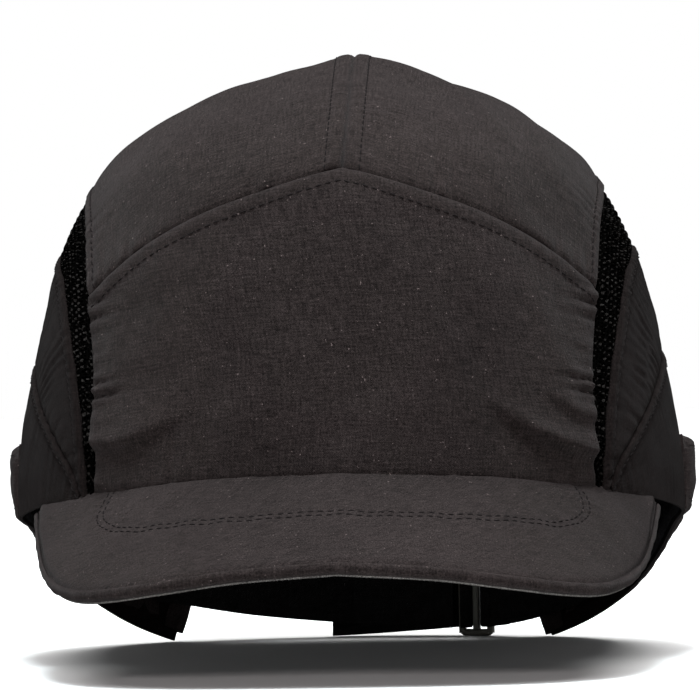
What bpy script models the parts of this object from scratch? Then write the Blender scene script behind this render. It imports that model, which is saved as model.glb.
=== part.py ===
"""Bump cap: a woven textile cap over a vented impact shell, as separate named pieces.

Row frame: +Z up as worn, +X to the wearer's left, -Y to the front, origin at the bottom centre of the
bounding box. Sizes below are millimetres. Crown points are given as (azimuth, height) pairs: azimuth 0 is the
front centre, 90 the wearer's left side and 180 the rear centre, in degrees about the crown's own upright axis.
"""
import math

import bpy
import numpy as np

MM = 0.001

# Crown, outer fabric surface: height, half width, front depth and rear depth of each level section.
CROWN_LEVELS = [
    (0, 96.5, 110, 116), (20, 96.4, 110, 115.8), (40, 96.2, 109.5, 115.2), (60, 95.9, 108, 114),
    (70, 94.8, 107.2, 112.9), (80, 92.8, 106.2, 111.5), (100, 88.4, 102.5, 108), (120, 83.2, 97, 102),
    (138, 74.4, 89, 93.5), (152, 63.2, 76, 81), (163, 45.5, 58.5, 64), (171, 24.5, 39, 45.5),
    (176, 9, 21, 27), (178, 0, 0, 0)]
# Impact shell, outer surface, in the same form.
SHELL_LEVELS = [
    (55, 89.6, 102.5, 108), (80, 87, 100.5, 105.8), (100, 82.8, 97, 102.5), (120, 76.6, 90.3, 95.8),
    (136, 69, 81.7, 86.8), (148, 58.4, 72, 77), (156, 46, 60.6, 66), (162, 32, 47.5, 53),
    (166, 18, 31, 36), (168, 0, 0, 0)]
SQUARENESS = 2.15          # superellipse exponent of every level section
RAY_HEIGHT = 70            # height on the axis from which the surfaces are seen

# Fabric layers, as distances from the crown surface (outwards positive).
FABRIC = 1.2
LAYER_GAP = 0.5
SEAM_GAP = 0.5             # from a seam line to each panel's edge
SWEATBAND = 2.0
SWEATBAND_HEIGHT = 27
TAPE = 0.6
TAPE_WIDTH = 14
TAPE_DEPTH = 2.7           # the tape's outer face, below the crown surface
HEM_BAND = 3.0
HEM_HEIGHT = 23

# Seam lines of the wearer's left half.
PEAK_SEAM = [(0, 58.2), (22, 56.6), (42, 52.9), (50, 51.4), (58, 49.9)]
BASE_EDGE = PEAK_SEAM + [(75, 46.5), (93, 43.5), (105, 40), (116, 31), (132, 16), (148.5, 4)]
FRONT_TOP = [(0, 143), (14, 136.8), (26, 130), (36, 122.3), (44.5, 114), (49.8, 108.5)]
FRONT_SIDE = [(41.8, 52.9), (41.4, 65), (42.2, 76), (44.7, 90), (49.8, 108.5)]
CROWN_SIDE = [(49.8, 108.5), (54, 119), (60, 127.5), (71, 134), (90, 138), (115, 137.5), (133, 131),
              (146, 120), (156, 107.5)]
CROWN_REAR = [(180, 101), (168, 103.3), (156, 107.5)]
MESH_LOWER = [(43.3, 52.6), (44.6, 65), (46.5, 76), (51, 90), (58, 104), (66, 114), (78, 119.7), (90, 122),
              (110, 121.5), (132, 115.5), (146, 109), (156, 104.4)]
SIDE_TOP = MESH_LOWER + [(168, 102.3), (180, 100.6)]
LOWER_SEAM = [(45, 54.5), (48.2, 61.5), (51.5, 65.8), (57.5, 72.7), (72, 84.5), (88, 90.8), (110, 94),
              (132, 92), (150, 87), (165, 83), (180, 81)]
ARCH = [(180, 59), (170, 56.8), (162, 50), (156, 39), (152.5, 26), (150.5, 14), (148.5, 4)]

# Peak: its outer edge from the front centre to the wearer's left end, from the crown's axis.
PEAK_EDGE = [(0, -156, 37.2), (26, -154.5, 35.4), (46, -150, 32.6), (59.5, -142, 30.5), (69, -132, 29.6),
             (75.5, -120, 30.4), (80, -106, 32.6), (83, -91, 36.4), (85, -76, 41.2), (86.3, -63, 46),
             (87, -54.5, 49.2)]
PEAK_COVER = 0.8
PEAK_BOARD = 1.7
PEAK_GAP = 0.35
BINDING = 1.6

# Insert: shell and foam pads.
SHELL_WALL = 2.0
SHELL_RIM_FRONT = 85       # height of the shell's rim at the front and the rear of the crown
SHELL_RIM_REAR = 64
PAD = 5.0
PAD_GAP = 0.7
PAD_AREAS = {              # azimuth and height ranges of each pad on the shell
    "front_pad": (-36, 36, 89, 112),
    "rear_pad": (148, 212, 72, 100),
    "side_pad_left": (62, 118, 82, 108),
    "side_pad_right": (-118, -62, 82, 108),
}
CROWN_PAD_HALF = (34, 44)  # half width and half length of the crown pad
CROWN_PAD_FLOOR = 156      # height of the crown pad's flat underside

# Rear strap, on cylinders about an upright axis. Angles are from the rear centre towards +X, in degrees.
STRAP_AXIS_Y = 20.5
STRAP_HEIGHT = 20
BAR_FROM_AXIS = 92.3       # the ring's upright bars
BAR_LEFT = 19.5
BAR_RIGHT = 25.0
RING_WALL = 2.4
FOLD_INNER = 2.0           # from a bar's axis to the webbing folded round it
WEBBING = 1.0
BASE_STRAP = (90.8, 92.0)
LOOP_PATCH = (92.3, 92.9)
HOOK_PATCH = (93.2, 93.9)
STRAP_LOWER = [(-43, 16.5), (-36, 14.8), (-22, 11), (-6, 8.2), (8, 6.8), (21, 6.2), (30, 7.5), (40, 11),
               (54, 18)]

PEAK_TIP = -PEAK_EDGE[0][1] + BINDING + 0.4
REAR_END = STRAP_AXIS_Y + BAR_FROM_AXIS + FOLD_INNER + WEBBING
CENTRE_Y = (PEAK_TIP - REAR_END) / 2      # puts the crown's axis so that the box is centred on the origin
LOWEST = 3.6               # height of the lowest point in the tables above

CHARCOAL = (0.030, 0.027, 0.026, 1)
BLACK_MESH = (0.006, 0.006, 0.006, 1)
SWEAT_GREY = (0.045, 0.045, 0.047, 1)
SHELL_BLACK = (0.018, 0.018, 0.02, 1)
FOAM_GREY = (0.10, 0.10, 0.105, 1)
LABEL_WHITE = (0.62, 0.61, 0.58, 1)


def smooth_curve(points, count):
    """count points evenly spaced along a smooth curve through the given points (Catmull-Rom)."""
    p = np.array(points, float)
    p = np.vstack([2 * p[0] - p[1], p, 2 * p[-1] - p[-2]])
    t = np.linspace(0, 1, 24, endpoint=False)[:, None]
    spans = [0.5 * (2 * b + (c - a) * t + (2 * a - 5 * b + 4 * c - d) * t ** 2 + (3 * b - a - 3 * c + d) * t ** 3)
             for a, b, c, d in zip(p, p[1:], p[2:], p[3:])]
    fine = np.vstack(spans + [p[-2:-1]])
    along = np.concatenate([[0], np.cumsum(np.linalg.norm(np.diff(fine, axis=0), axis=1))])
    at = np.linspace(0, along[-1], count)
    return np.stack([np.interp(at, along, column) for column in fine.T], axis=1)


class Dome:
    """A surface with level sections that are superellipses, deeper at the rear than at the front."""

    def __init__(self, levels):
        table = smooth_curve(levels, 600)
        self.height, self.half, self.front, self.rear = table.T
        self.top = self.height[-1]

    def excess(self, p):
        """Negative inside the surface, positive outside."""
        x, y, z = p[..., 0], p[..., 1], p[..., 2]
        half = np.maximum(np.interp(z, self.height, self.half), 1e-6)
        deep = np.where(y < 0, np.interp(z, self.height, self.front), np.interp(z, self.height, self.rear))
        value = (np.abs(x) / half) ** SQUARENESS + (np.abs(y) / np.maximum(deep, 1e-6)) ** SQUARENESS - 1
        return np.where(z >= self.top, 1e6, value)

    def project(self, points):
        """The points moved onto the surface along rays from a fixed point on the axis."""
        eye = np.array([0, 0, RAY_HEIGHT], float)
        ray = np.asarray(points, float) - eye
        low, high = np.full(ray.shape[:-1], 0.02), np.full(ray.shape[:-1], 12.0)
        for _ in range(48):
            middle = (low + high) / 2
            outside = self.excess(eye + ray * middle[..., None]) > 0
            high = np.where(outside, middle, high)
            low = np.where(outside, low, middle)
        return eye + ray * low[..., None]

    def at(self, azimuth, height):
        """Surface points at these azimuths (degrees) and heights."""
        a, z = np.radians(np.asarray(azimuth, float)), np.asarray(height, float)
        flat = np.stack([np.sin(a), -np.cos(a)], axis=-1)
        half = np.interp(z, self.height, self.half)
        deep = np.where(flat[..., 1] < 0, np.interp(z, self.height, self.front),
                        np.interp(z, self.height, self.rear))
        reach = ((np.abs(flat[..., 0]) / half) ** SQUARENESS
                 + (np.abs(flat[..., 1]) / deep) ** SQUARENESS) ** (-1 / SQUARENESS)
        return np.concatenate([flat * reach[..., None], z[..., None]], axis=-1)

    def line(self, pairs, count):
        """A smooth line on the surface through (azimuth, height) pairs."""
        knots = self.at([a for a, _ in pairs], [z for _, z in pairs])
        return self.project(smooth_curve(knots, count))

    def normals(self, p):
        step = 0.4
        grad = np.stack([self.excess(p + step * e) - self.excess(p - step * e) for e in np.eye(3)], axis=-1)
        too_high = np.abs(grad[..., 2]) > 1e4
        grad[too_high] = (0, 0, 1)
        return grad / np.linalg.norm(grad, axis=-1, keepdims=True)

    def offset(self, p, distance):
        return p + distance * self.normals(p)


CROWN = Dome(CROWN_LEVELS)
SHELL = Dome(SHELL_LEVELS)


def mirrored(points):
    return np.asarray(points) * (-1, 1, 1)


def both_sides(points):
    """A line given from the middle to the wearer's left end, continued from the right end."""
    return np.vstack([mirrored(points)[:0:-1], points])


def coons(low, high, start, end):
    """Grid of points between four curves: low and high run along u, start and end join them along v."""
    nu, nv = len(low), len(start)
    u, v = np.linspace(0, 1, nu)[:, None, None], np.linspace(0, 1, nv)[None, :, None]
    ruled_v = (1 - v) * low[:, None] + v * high[:, None]
    ruled_u = (1 - u) * start[None] + u * end[None]
    corners = ((1 - u) * (1 - v) * low[0] + u * (1 - v) * low[-1] + (1 - u) * v * high[0] + u * v * high[-1])
    return ruled_v + ruled_u - corners


def inset(grid, edge=SEAM_GAP):
    """The grid with its four edges moved inwards by about that many millimetres."""
    out = grid.copy()
    for axis in (0, 1):
        g = np.swapaxes(out, 0, axis)
        for end, near in ((0, 1), (-1, -2)):
            step = g[near] - g[end]
            length = np.maximum(np.linalg.norm(step, axis=-1, keepdims=True), 1e-9)
            g[end] = g[end] + step * np.minimum(edge / length, 0.35)
    return out


def crown_patch(low, high, start, end, edge=SEAM_GAP):
    return CROWN.project(inset(coons(low, high, start, end), edge))


def grid_normals(grid):
    """Unit normals of a grid of points, from its neighbours."""
    n = np.cross(np.gradient(grid, axis=0), np.gradient(grid, axis=1))
    return n / np.maximum(np.linalg.norm(n, axis=-1, keepdims=True), 1e-12)


def material(name, colour, roughness, metallic=0.0):
    found = bpy.data.materials.get(name)
    if found:
        return found
    made = bpy.data.materials.new(name)
    made.use_nodes = True
    shader = made.node_tree.nodes["Principled BSDF"]
    shader.inputs["Base Color"].default_value = colour
    shader.inputs["Roughness"].default_value = roughness
    shader.inputs["Metallic"].default_value = metallic
    return made


def add_object(name, vertices, faces, finish):
    """Makes the object, turning its faces outwards, with millimetres made metres about the row's origin."""
    v = (np.asarray(vertices, float).reshape(-1, 3) + (0, CENTRE_Y, -LOWEST)) * MM
    corner = v[[[f[0], f[i], f[i + 1]] for f in faces for i in range(1, len(f) - 1)]]
    volume = np.einsum("ij,ij->i", corner[:, 0], np.cross(corner[:, 1], corner[:, 2])).sum()
    if volume < 0:
        faces = [f[::-1] for f in faces]
    mesh = bpy.data.meshes.new(name)
    mesh.from_pydata(v.tolist(), [], [tuple(int(i) for i in f) for f in faces])
    mesh.validate()
    mesh.shade_smooth()
    mesh.set_sharp_from_angle(angle=math.radians(40))
    mesh.materials.append(finish)
    obj = bpy.data.objects.new(name, mesh)
    bpy.context.scene.collection.objects.link(obj)
    return obj


def slab(name, outer, inner, finish, holes=(), around=False):
    """A closed wall between two grids. holes lists cells left out; around joins the first row to the last."""
    nu, nv = outer.shape[:2]
    rows = nu if around else nu - 1
    kept = {(i, j) for i in range(rows) for j in range(nv - 1)} - set(holes)

    def index(i, j, layer):
        return (layer * nu + i % nu) * nv + j

    faces = []
    for i, j in sorted(kept):
        ring = [(i, j), (i + 1, j), (i + 1, j + 1), (i, j + 1)]
        faces.append([index(a, b, 0) for a, b in ring])
        faces.append([index(a, b, 1) for a, b in ring[::-1]])
        sides = [((i, j - 1), ring[0], ring[1]), ((i + 1, j), ring[1], ring[2]),
                 ((i, j + 1), ring[2], ring[3]), ((i - 1, j), ring[3], ring[0])]
        for (a, b), one, two in sides:
            beside = (a % nu, b) if around else (a, b)
            if beside not in kept:
                faces.append([index(*two, 0), index(*one, 0), index(*one, 1), index(*two, 1)])
    return add_object(name, np.stack([outer, inner]), faces, finish)


def sweep(name, sections, finish):
    """A closed bar through a row of closed sections with the same number of points."""
    s = np.asarray(sections, float)
    rows, around = s.shape[:2]
    faces = [[i * around + k, i * around + (k + 1) % around, (i + 1) * around + (k + 1) % around,
              (i + 1) * around + k] for i in range(rows - 1) for k in range(around)]
    faces += [list(range(around))[::-1], [(rows - 1) * around + k for k in range(around)]]
    return add_object(name, s, faces, finish)


def crown_slab(name, grid, low, high, finish):
    return slab(name, CROWN.offset(grid, high), CROWN.offset(grid, low), finish)


def left_and_right(name, grid, low, high, finish):
    crown_slab(name + "_left", grid, low, high, finish)
    crown_slab(name + "_right", mirrored(grid), low, high, finish)


def base_height(azimuth):
    """Height of the cap's lower edge at an azimuth."""
    line = smooth_curve(BASE_EDGE, 200)
    return np.interp(np.abs(azimuth), line[:, 0], line[:, 1])


def centre_line(count):
    """The crown's middle seam, from the front panel over the top to the rear seam."""
    front, rear = CROWN.at(0, FRONT_TOP[0][1]), CROWN.at(180, CROWN_REAR[0][1])
    angle = [math.atan2(p[2] - RAY_HEIGHT, p[1]) for p in (front, rear)]
    at = np.linspace(angle[0], angle[1], count)
    return CROWN.project(np.stack([0 * at, 100 * np.cos(at), RAY_HEIGHT + 100 * np.sin(at)], axis=1))


def fabric_panels():
    cloth = material("charcoal_cloth", CHARCOAL, 0.85)
    netting = material("black_spacer_mesh", BLACK_MESH, 0.6)
    line = CROWN.line

    side = line(FRONT_SIDE, 9)
    low = [p for p in BASE_EDGE if p[0] < FRONT_SIDE[0][0]] + [FRONT_SIDE[0]]
    front = crown_patch(both_sides(line(low, 10)), both_sides(line(FRONT_TOP, 10)), mirrored(side), side)
    crown_slab("front_panel", front, -FABRIC, 0, cloth)

    crown = crown_patch(centre_line(18), line(CROWN_SIDE, 18), line(FRONT_TOP, 9), line(CROWN_REAR, 9))
    left_and_right("crown_panel", crown, -FABRIC, 0, cloth)

    outer = line(FRONT_SIDE + CROWN_SIDE[1:], 22)
    lower = line(MESH_LOWER, 22)
    strip = crown_patch(outer, lower, np.linspace(outer[0], lower[0], 4), np.linspace(outer[-1], lower[-1], 4))
    left_and_right("mesh_insert", strip, -FABRIC, 0, netting)

    top, bottom = line(SIDE_TOP, 20), line(LOWER_SEAM, 20)
    panel = crown_patch(top, bottom, np.linspace(top[0], bottom[0], 6), line([SIDE_TOP[-1], LOWER_SEAM[-1]], 6))
    left_and_right("side_panel", panel, -FABRIC, 0, cloth)

    front_end = LOWER_SEAM[0][0]
    edge = [(front_end, float(base_height(front_end)))] + [p for p in BASE_EDGE if p[0] > front_end + 5]
    bottom_edge = line(edge, 20)
    arch_side = np.vstack([line([LOWER_SEAM[-1], ARCH[0]], 3)[:-1], line(ARCH, 10)])
    panel = crown_patch(line(LOWER_SEAM, 20), bottom_edge, np.linspace(line(LOWER_SEAM, 2)[0], bottom_edge[0], 12),
                        arch_side)
    left_and_right("lower_panel", panel, -FABRIC, 0, cloth)


def trims():
    cloth = material("charcoal_cloth", CHARCOAL, 0.85)
    towel = material("grey_towelling", SWEAT_GREY, 0.95)
    tape_top = -FABRIC - LAYER_GAP

    middle = centre_line(18)[1:-1]
    across = np.linspace(-TAPE_WIDTH / 2, TAPE_WIDTH / 2, 5)
    tape = CROWN.project(middle[:, None] + across[None, :, None] * np.array([1.0, 0, 0]))
    crown_slab("crown_seam_tape", tape, -TAPE_DEPTH - TAPE, -TAPE_DEPTH, cloth)

    for name, start, stop in (("sweatband_front", -60, 60), ("sweatband_left", 61, 128),
                              ("sweatband_right", -61, -128)):
        azimuth = np.linspace(start, stop, 17)
        foot = base_height(azimuth) + 0.5
        band = CROWN.at(azimuth[:, None] + np.zeros(4), foot[:, None] + np.linspace(0, SWEATBAND_HEIGHT, 4))
        crown_slab(name, band, tape_top - SWEATBAND, tape_top, towel)

    azimuth = np.linspace(84, 145.5, 16)
    foot = base_height(azimuth) + 0.3
    rise = HEM_HEIGHT * np.array([0, 0.12, 0.88, 1])
    bulge = HEM_BAND * np.array([0.5, 1, 1, 0.5])
    band = CROWN.at(azimuth[:, None] + np.zeros(4), foot[:, None] + rise)
    for side, flip in (("left", 1), ("right", -1)):
        grid = band * (flip, 1, 1)
        out = grid + (LAYER_GAP + bulge)[None, :, None] * CROWN.normals(grid)
        slab("hem_band_" + side, out, CROWN.offset(grid, LAYER_GAP), cloth)

    half = CROWN.line(ARCH, 14)[:-1]
    arch = np.vstack([half[::-1], mirrored(half)[1:]])
    along = np.gradient(arch, axis=0)
    out = CROWN.normals(arch)
    into = np.cross(along, out)
    into /= np.linalg.norm(into, axis=-1, keepdims=True)
    into *= -np.sign(into[len(into) // 2, 2])
    shape = [(0.4, -1.5), (2.0, -1.5), (2.6, -0.7), (2.0, 0.3), (0.4, 0.3)]
    sections = np.stack([arch + a * into + b * out for a, b in shape], axis=1)
    sweep("rear_arch_binding", sections, cloth)

    label = CROWN.at(np.linspace(-139.5, -130, 4)[:, None] + np.zeros(3), np.linspace(30, 56, 3)[None] + np.zeros((4, 1)))
    crown_slab("care_label", label, tape_top - 0.5, tape_top, material("white_label", LABEL_WHITE, 0.8))


def peak():
    """Top cover, board and lower cover on one ruled surface, with a binding round the free edge."""
    cloth = material("charcoal_cloth", CHARCOAL, 0.85)
    root = CROWN.offset(CROWN.line(PEAK_SEAM, 14), 0.7)
    edge = smooth_curve(PEAK_EDGE, 14)
    inner, outer = both_sides(root), both_sides(edge)
    surface = inset(coons(inner, outer, np.linspace(inner[0], outer[0], 6), np.linspace(inner[-1], outer[-1], 6)), 0.3)
    normal = grid_normals(surface)
    if normal[len(normal) // 2, 0, 2] < 0:
        normal = -normal
    depth = 0.0
    layers = [("peak_cover_top", PEAK_COVER, cloth),
              ("peak_board", PEAK_BOARD, material("peak_board_plastic", SHELL_BLACK, 0.5)),
              ("peak_cover_bottom", PEAK_COVER, cloth)]
    for name, thick, finish in layers:
        slab(name, surface - depth * normal, surface - (depth + thick) * normal, finish)
        depth += thick + PEAK_GAP
    rim, up = surface[:, -1], normal[:, -1]
    away = np.cross(np.gradient(rim, axis=0), up)
    away /= np.linalg.norm(away, axis=-1, keepdims=True)
    if away[len(away) // 2, 1] > 0:
        away = -away
    depth -= PEAK_GAP
    shape = [(0.4, 0.1), (0.4 + 0.7 * BINDING, -0.1), (0.4 + BINDING, -0.35 * depth), (0.4 + BINDING, -0.65 * depth),
             (0.4 + 0.7 * BINDING, 0.1 - depth), (0.4, -0.1 - depth)]
    sweep("peak_edge_binding", np.stack([rim + a * away + b * up for a, b in shape], axis=1)[1:-1], cloth)


def insert():
    """The vented impact shell and the foam pads inside it."""
    plastic = material("black_abs", SHELL_BLACK, 0.45)
    foam = material("grey_foam", FOAM_GREY, 0.9)
    around, rings = 48, 11
    azimuth = np.arange(around) * 360 / around
    side = SHELL.at(azimuth, np.full(around, (SHELL_RIM_FRONT + SHELL_RIM_REAR) / 2))
    slope = (SHELL_RIM_REAR - SHELL_RIM_FRONT) / (side[:, 1].max() - side[:, 1].min())
    rim = SHELL.at(azimuth, (SHELL_RIM_FRONT + SHELL_RIM_REAR) / 2 + slope * side[:, 1])
    crest = np.array([0, 4, SHELL.top], float)
    eye = np.array([0, 0, RAY_HEIGHT], float)
    share = np.linspace(0, 1, rings + 1)[:-1]
    low, high = rim - eye, crest - eye
    turn = np.arccos((low @ high) / (np.linalg.norm(low, axis=1) * np.linalg.norm(high)))[:, None]
    grid = SHELL.project(eye + (low[:, None] * np.sin((1 - share) * turn)[..., None] * 90 / np.linalg.norm(low, axis=1)[:, None, None]
                                + high * np.sin(share * turn)[..., None] * 90 / np.linalg.norm(high)) / np.sin(turn)[..., None])
    vents = {(i, j) for j, step in ((2, 3), (5, 3), (7, 6)) for i in range(around) if i % step == 1}
    vents |= {(i, 3) for i, j in vents if j == 2} | {(i, 8) for i, j in vents if j == 7}
    wall = slab("impact_shell", grid, SHELL.offset(grid, -SHELL_WALL), plastic, vents, around=True)
    close_crest(wall, around, rings, crest)

    for name, (start, stop, bottom, top) in PAD_AREAS.items():
        area = SHELL.at(np.linspace(start, stop, 9)[:, None] + np.zeros(4), np.linspace(bottom, top, 4)[None] + np.zeros((9, 1)))
        thick = PAD * np.array([0.7, 1, 1, 0.7])
        inner = area - (SHELL_WALL + PAD_GAP + thick)[None, :, None] * SHELL.normals(area)
        slab(name, SHELL.offset(area, -SHELL_WALL - PAD_GAP), inner, foam)

    turn = np.radians(np.arange(24) * 15)
    ring = np.stack([CROWN_PAD_HALF[0] * np.sin(turn), CROWN_PAD_HALF[1] * np.cos(turn)], axis=1)
    levels = []
    for scale in (1.0, 0.66, 0.33):
        flat = np.concatenate([ring * scale, np.full((24, 1), 250.0)], axis=1)
        levels.append(SHELL.offset(straight_down(flat), -SHELL_WALL - PAD_GAP))
    floor = np.concatenate([ring * 0.97, np.full((24, 1), float(CROWN_PAD_FLOOR))], axis=1)
    rows = np.stack([floor, *levels], axis=0)
    faces = [[i * 24 + k, i * 24 + (k + 1) % 24, (i + 1) * 24 + (k + 1) % 24, (i + 1) * 24 + k]
             for i in range(3) for k in range(24)]
    faces += [list(range(24))[::-1], [3 * 24 + k for k in range(24)]]
    add_object("crown_pad", rows, faces, foam)


def straight_down(points):
    """The points dropped onto the shell's upper side."""
    out = points.copy()
    low, high = np.full(len(out), 100.0), np.full(len(out), SHELL.top)
    for _ in range(40):
        middle = (low + high) / 2
        outside = SHELL.excess(np.column_stack([out[:, :2], middle])) > 0
        high, low = np.where(outside, middle, high), np.where(outside, low, middle)
    out[:, 2] = low
    return out


def close_crest(wall, around, rings, crest):
    """Fills the ring left open at the shell's crest, outside and inside, in place of its wall."""
    mesh = wall.data
    inside = around * rings
    rim = {i * rings + rings - 1 for i in range(around)}
    rim |= {inside + i for i in rim}
    faces = [list(p.vertices) for p in mesh.polygons if not set(p.vertices) <= rim]
    points = np.array([v.co for v in mesh.vertices]) / MM - (0, CENTRE_Y, -LOWEST)
    points = np.vstack([points, crest, crest - (0, 0, SHELL_WALL)])
    tops = []
    for i in range(around):
        one, two = i * rings + rings - 1, (i + 1) % around * rings + rings - 1
        tops += [[one, two, len(points) - 2], [inside + two, inside + one, len(points) - 1]]
    finish = mesh.materials[0]
    outward = [f for f in faces if set(f) & rim and max(f) < inside]
    follows = any(outward[0][k] in rim and outward[0][(k + 1) % 4] in rim
                  and (outward[0][(k + 1) % 4] - outward[0][k]) % inside == rings for k in range(4))
    if follows:
        tops = [f[::-1] for f in tops]
    bpy.data.objects.remove(wall)
    bpy.data.meshes.remove(mesh)
    add_object("impact_shell", points, faces + tops, finish)


def strap_point(angle, radius, height):
    a = np.radians(angle)
    return np.stack([radius * np.sin(a), STRAP_AXIS_Y + radius * np.cos(a), height + 0 * a], axis=-1)


def strap_foot(angle):
    """Height of the strap's lower edge at an angle."""
    line = smooth_curve(STRAP_LOWER, 200)
    return np.interp(angle, line[:, 0], line[:, 1])


def strap_run(name, start, stop, radii, finish, drop=0.0, narrow=0.0):
    """A strip of webbing on the strap's cylinder. drop lowers its far end, narrow trims both edges."""
    count = max(3, int(abs(stop - start) / 3.5) + 2)
    angle = np.linspace(start, stop, count)
    foot = strap_foot(angle) + narrow - drop * np.linspace(0, 1, count)
    height = foot[:, None] + np.array([0, 0.5, 1]) * (STRAP_HEIGHT - 2 * narrow)
    grid = angle[:, None] + np.zeros(3)
    slab(name, strap_point(grid, radii[1], height), strap_point(grid, radii[0], height), finish)


def ring_frame(angle, along, out, height):
    """A point near a bar: along the strap and outwards from the bar's axis, in millimetres."""
    a = math.radians(angle)
    tangent, radial = np.array([math.cos(a), -math.sin(a), 0]), np.array([math.sin(a), math.cos(a), 0])
    return strap_point(angle, BAR_FROM_AXIS, height) + along * tangent + out * radial


def folded_tail(finish):
    """The strap's outer run with the half turn that takes it round the ring's left bar."""
    middle = FOLD_INNER + WEBBING / 2
    turn = np.radians(np.linspace(-90, 90, 7))
    fold = [(middle * math.cos(t), middle * math.sin(t)) for t in turn]
    angle = np.linspace(BAR_LEFT - 1.2, -6, 9)
    foot = strap_foot(np.full(7, BAR_LEFT))
    line, inner, outer = [], [], []
    for (a, b), z in zip(fold, foot):
        unit = np.array([a, b]) / middle
        inner.append(ring_frame(BAR_LEFT, *(unit * FOLD_INNER), z))
        outer.append(ring_frame(BAR_LEFT, *(unit * (FOLD_INNER + WEBBING)), z))
    radius = BAR_FROM_AXIS + FOLD_INNER
    sag = 4.5 * np.linspace(0, 1, 9)
    low = strap_foot(angle) - sag
    inner += list(strap_point(angle, radius, low))
    outer += list(strap_point(angle, radius + WEBBING, low))
    inner, outer = np.array(inner), np.array(outer)
    rise = np.array([0, 0.5, 1])[None, :, None] * np.array([0, 0, STRAP_HEIGHT])
    slab("strap_tail", outer[:, None] + rise, inner[:, None] + rise, finish)


def folded_tab(finish):
    """The short tab that holds the ring's right bar and runs inside the wearer's left lower panel."""
    turn = np.radians(np.linspace(90, 270, 7))
    outer_angle, inner_angle = np.array([28.2, 27.2, 26.2]), np.linspace(26.2, 52, 9)
    inner = list(strap_point(outer_angle, BAR_FROM_AXIS + FOLD_INNER, strap_foot(outer_angle)))
    outer = list(strap_point(outer_angle, BAR_FROM_AXIS + FOLD_INNER + WEBBING, strap_foot(outer_angle)))
    for t in turn:
        unit, z = np.array([math.cos(t), math.sin(t)]), float(strap_foot(BAR_RIGHT))
        inner.append(ring_frame(BAR_RIGHT, *(unit * FOLD_INNER), z))
        outer.append(ring_frame(BAR_RIGHT, *(unit * (FOLD_INNER + WEBBING)), z))
    inner += list(strap_point(inner_angle, BAR_FROM_AXIS - FOLD_INNER, strap_foot(inner_angle)))
    outer += list(strap_point(inner_angle, BAR_FROM_AXIS - FOLD_INNER - WEBBING, strap_foot(inner_angle)))
    rise = np.array([0, 0.5, 1])[None, :, None] * np.array([0, 0, STRAP_HEIGHT])
    slab("strap_tab", np.array(outer)[:, None] + rise, np.array(inner)[:, None] + rise, finish)


def rear_strap():
    webbing = material("black_webbing", BLACK_MESH, 0.8)
    hooks = material("black_hook_and_loop", BLACK_MESH, 0.9)
    plastic = material("ring_plastic", SHELL_BLACK, 0.4)
    strap_run("rear_strap", -43, 5, BASE_STRAP, webbing)
    strap_run("strap_loop_patch", -30, 4.5, LOOP_PATCH, hooks, narrow=1.5)
    near_bar = BAR_LEFT - math.degrees(2.8 / BAR_FROM_AXIS)
    inner = (BAR_FROM_AXIS - FOLD_INNER - WEBBING, BAR_FROM_AXIS - FOLD_INNER)
    strap_run("strap_inner_run", near_bar, -2, inner, webbing)
    strap_run("strap_hook_patch", 4, -5.5, HOOK_PATCH, hooks, drop=4.0, narrow=1.5)
    folded_tail(webbing)
    folded_tab(webbing)

    foot, top = float(strap_foot(BAR_LEFT)) - 3.2, float(strap_foot(BAR_LEFT)) + STRAP_HEIGHT + 3.2
    angles = np.linspace(BAR_LEFT - 0.9, BAR_RIGHT + 0.9, 6)
    heights = np.array([foot, foot + 2.4, top - 2.4, top])
    grid_angle = angles[:, None] + np.zeros(4)
    grid_height = heights[None] + np.zeros((6, 1))
    outer = strap_point(grid_angle, BAR_FROM_AXIS + RING_WALL / 2, 0) + grid_height[..., None] * np.array([0, 0, 1])
    inner = strap_point(grid_angle, BAR_FROM_AXIS - RING_WALL / 2, 0) + grid_height[..., None] * np.array([0, 0, 1])
    slab("strap_ring", outer, inner, plastic, holes=[(1, 1), (3, 1)])


def carrier(name, point, pieces, parent=None):
    """An empty on a joint's axis that carries the pieces which move on it."""
    empty = bpy.data.objects.new(name, None)
    bpy.context.scene.collection.objects.link(empty)
    empty.location = (np.asarray(point, float) + (0, CENTRE_Y, -LOWEST)) * MM
    bpy.context.view_layer.update()
    children = [bpy.data.objects[piece] for piece in pieces]
    for child in children:
        child.parent = empty
        child.matrix_parent_inverse = empty.matrix_world.inverted()
    if parent:
        empty.parent = parent
        empty.matrix_parent_inverse = parent.matrix_world.inverted()
    return empty


def carriers():
    strap = carrier("strap_adjust_axis", (0, STRAP_AXIS_Y, STRAP_HEIGHT),
                    ["strap_ring", "strap_tab", "strap_inner_run"])
    carrier("tail_peel_axis", ring_frame(BAR_LEFT, 0, 0, STRAP_HEIGHT), ["strap_tail", "strap_hook_patch"], strap)
    carrier("insert_slide_axis", (0, 0, SHELL.top),
            ["impact_shell", "crown_pad", *PAD_AREAS])


def main():
    for obj in list(bpy.data.objects):
        bpy.data.objects.remove(obj)
    fabric_panels()
    trims()
    peak()
    insert()
    rear_strap()
    carriers()


main()
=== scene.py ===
import math

import bpy
import numpy as np
from mathutils import Matrix, Vector


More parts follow.
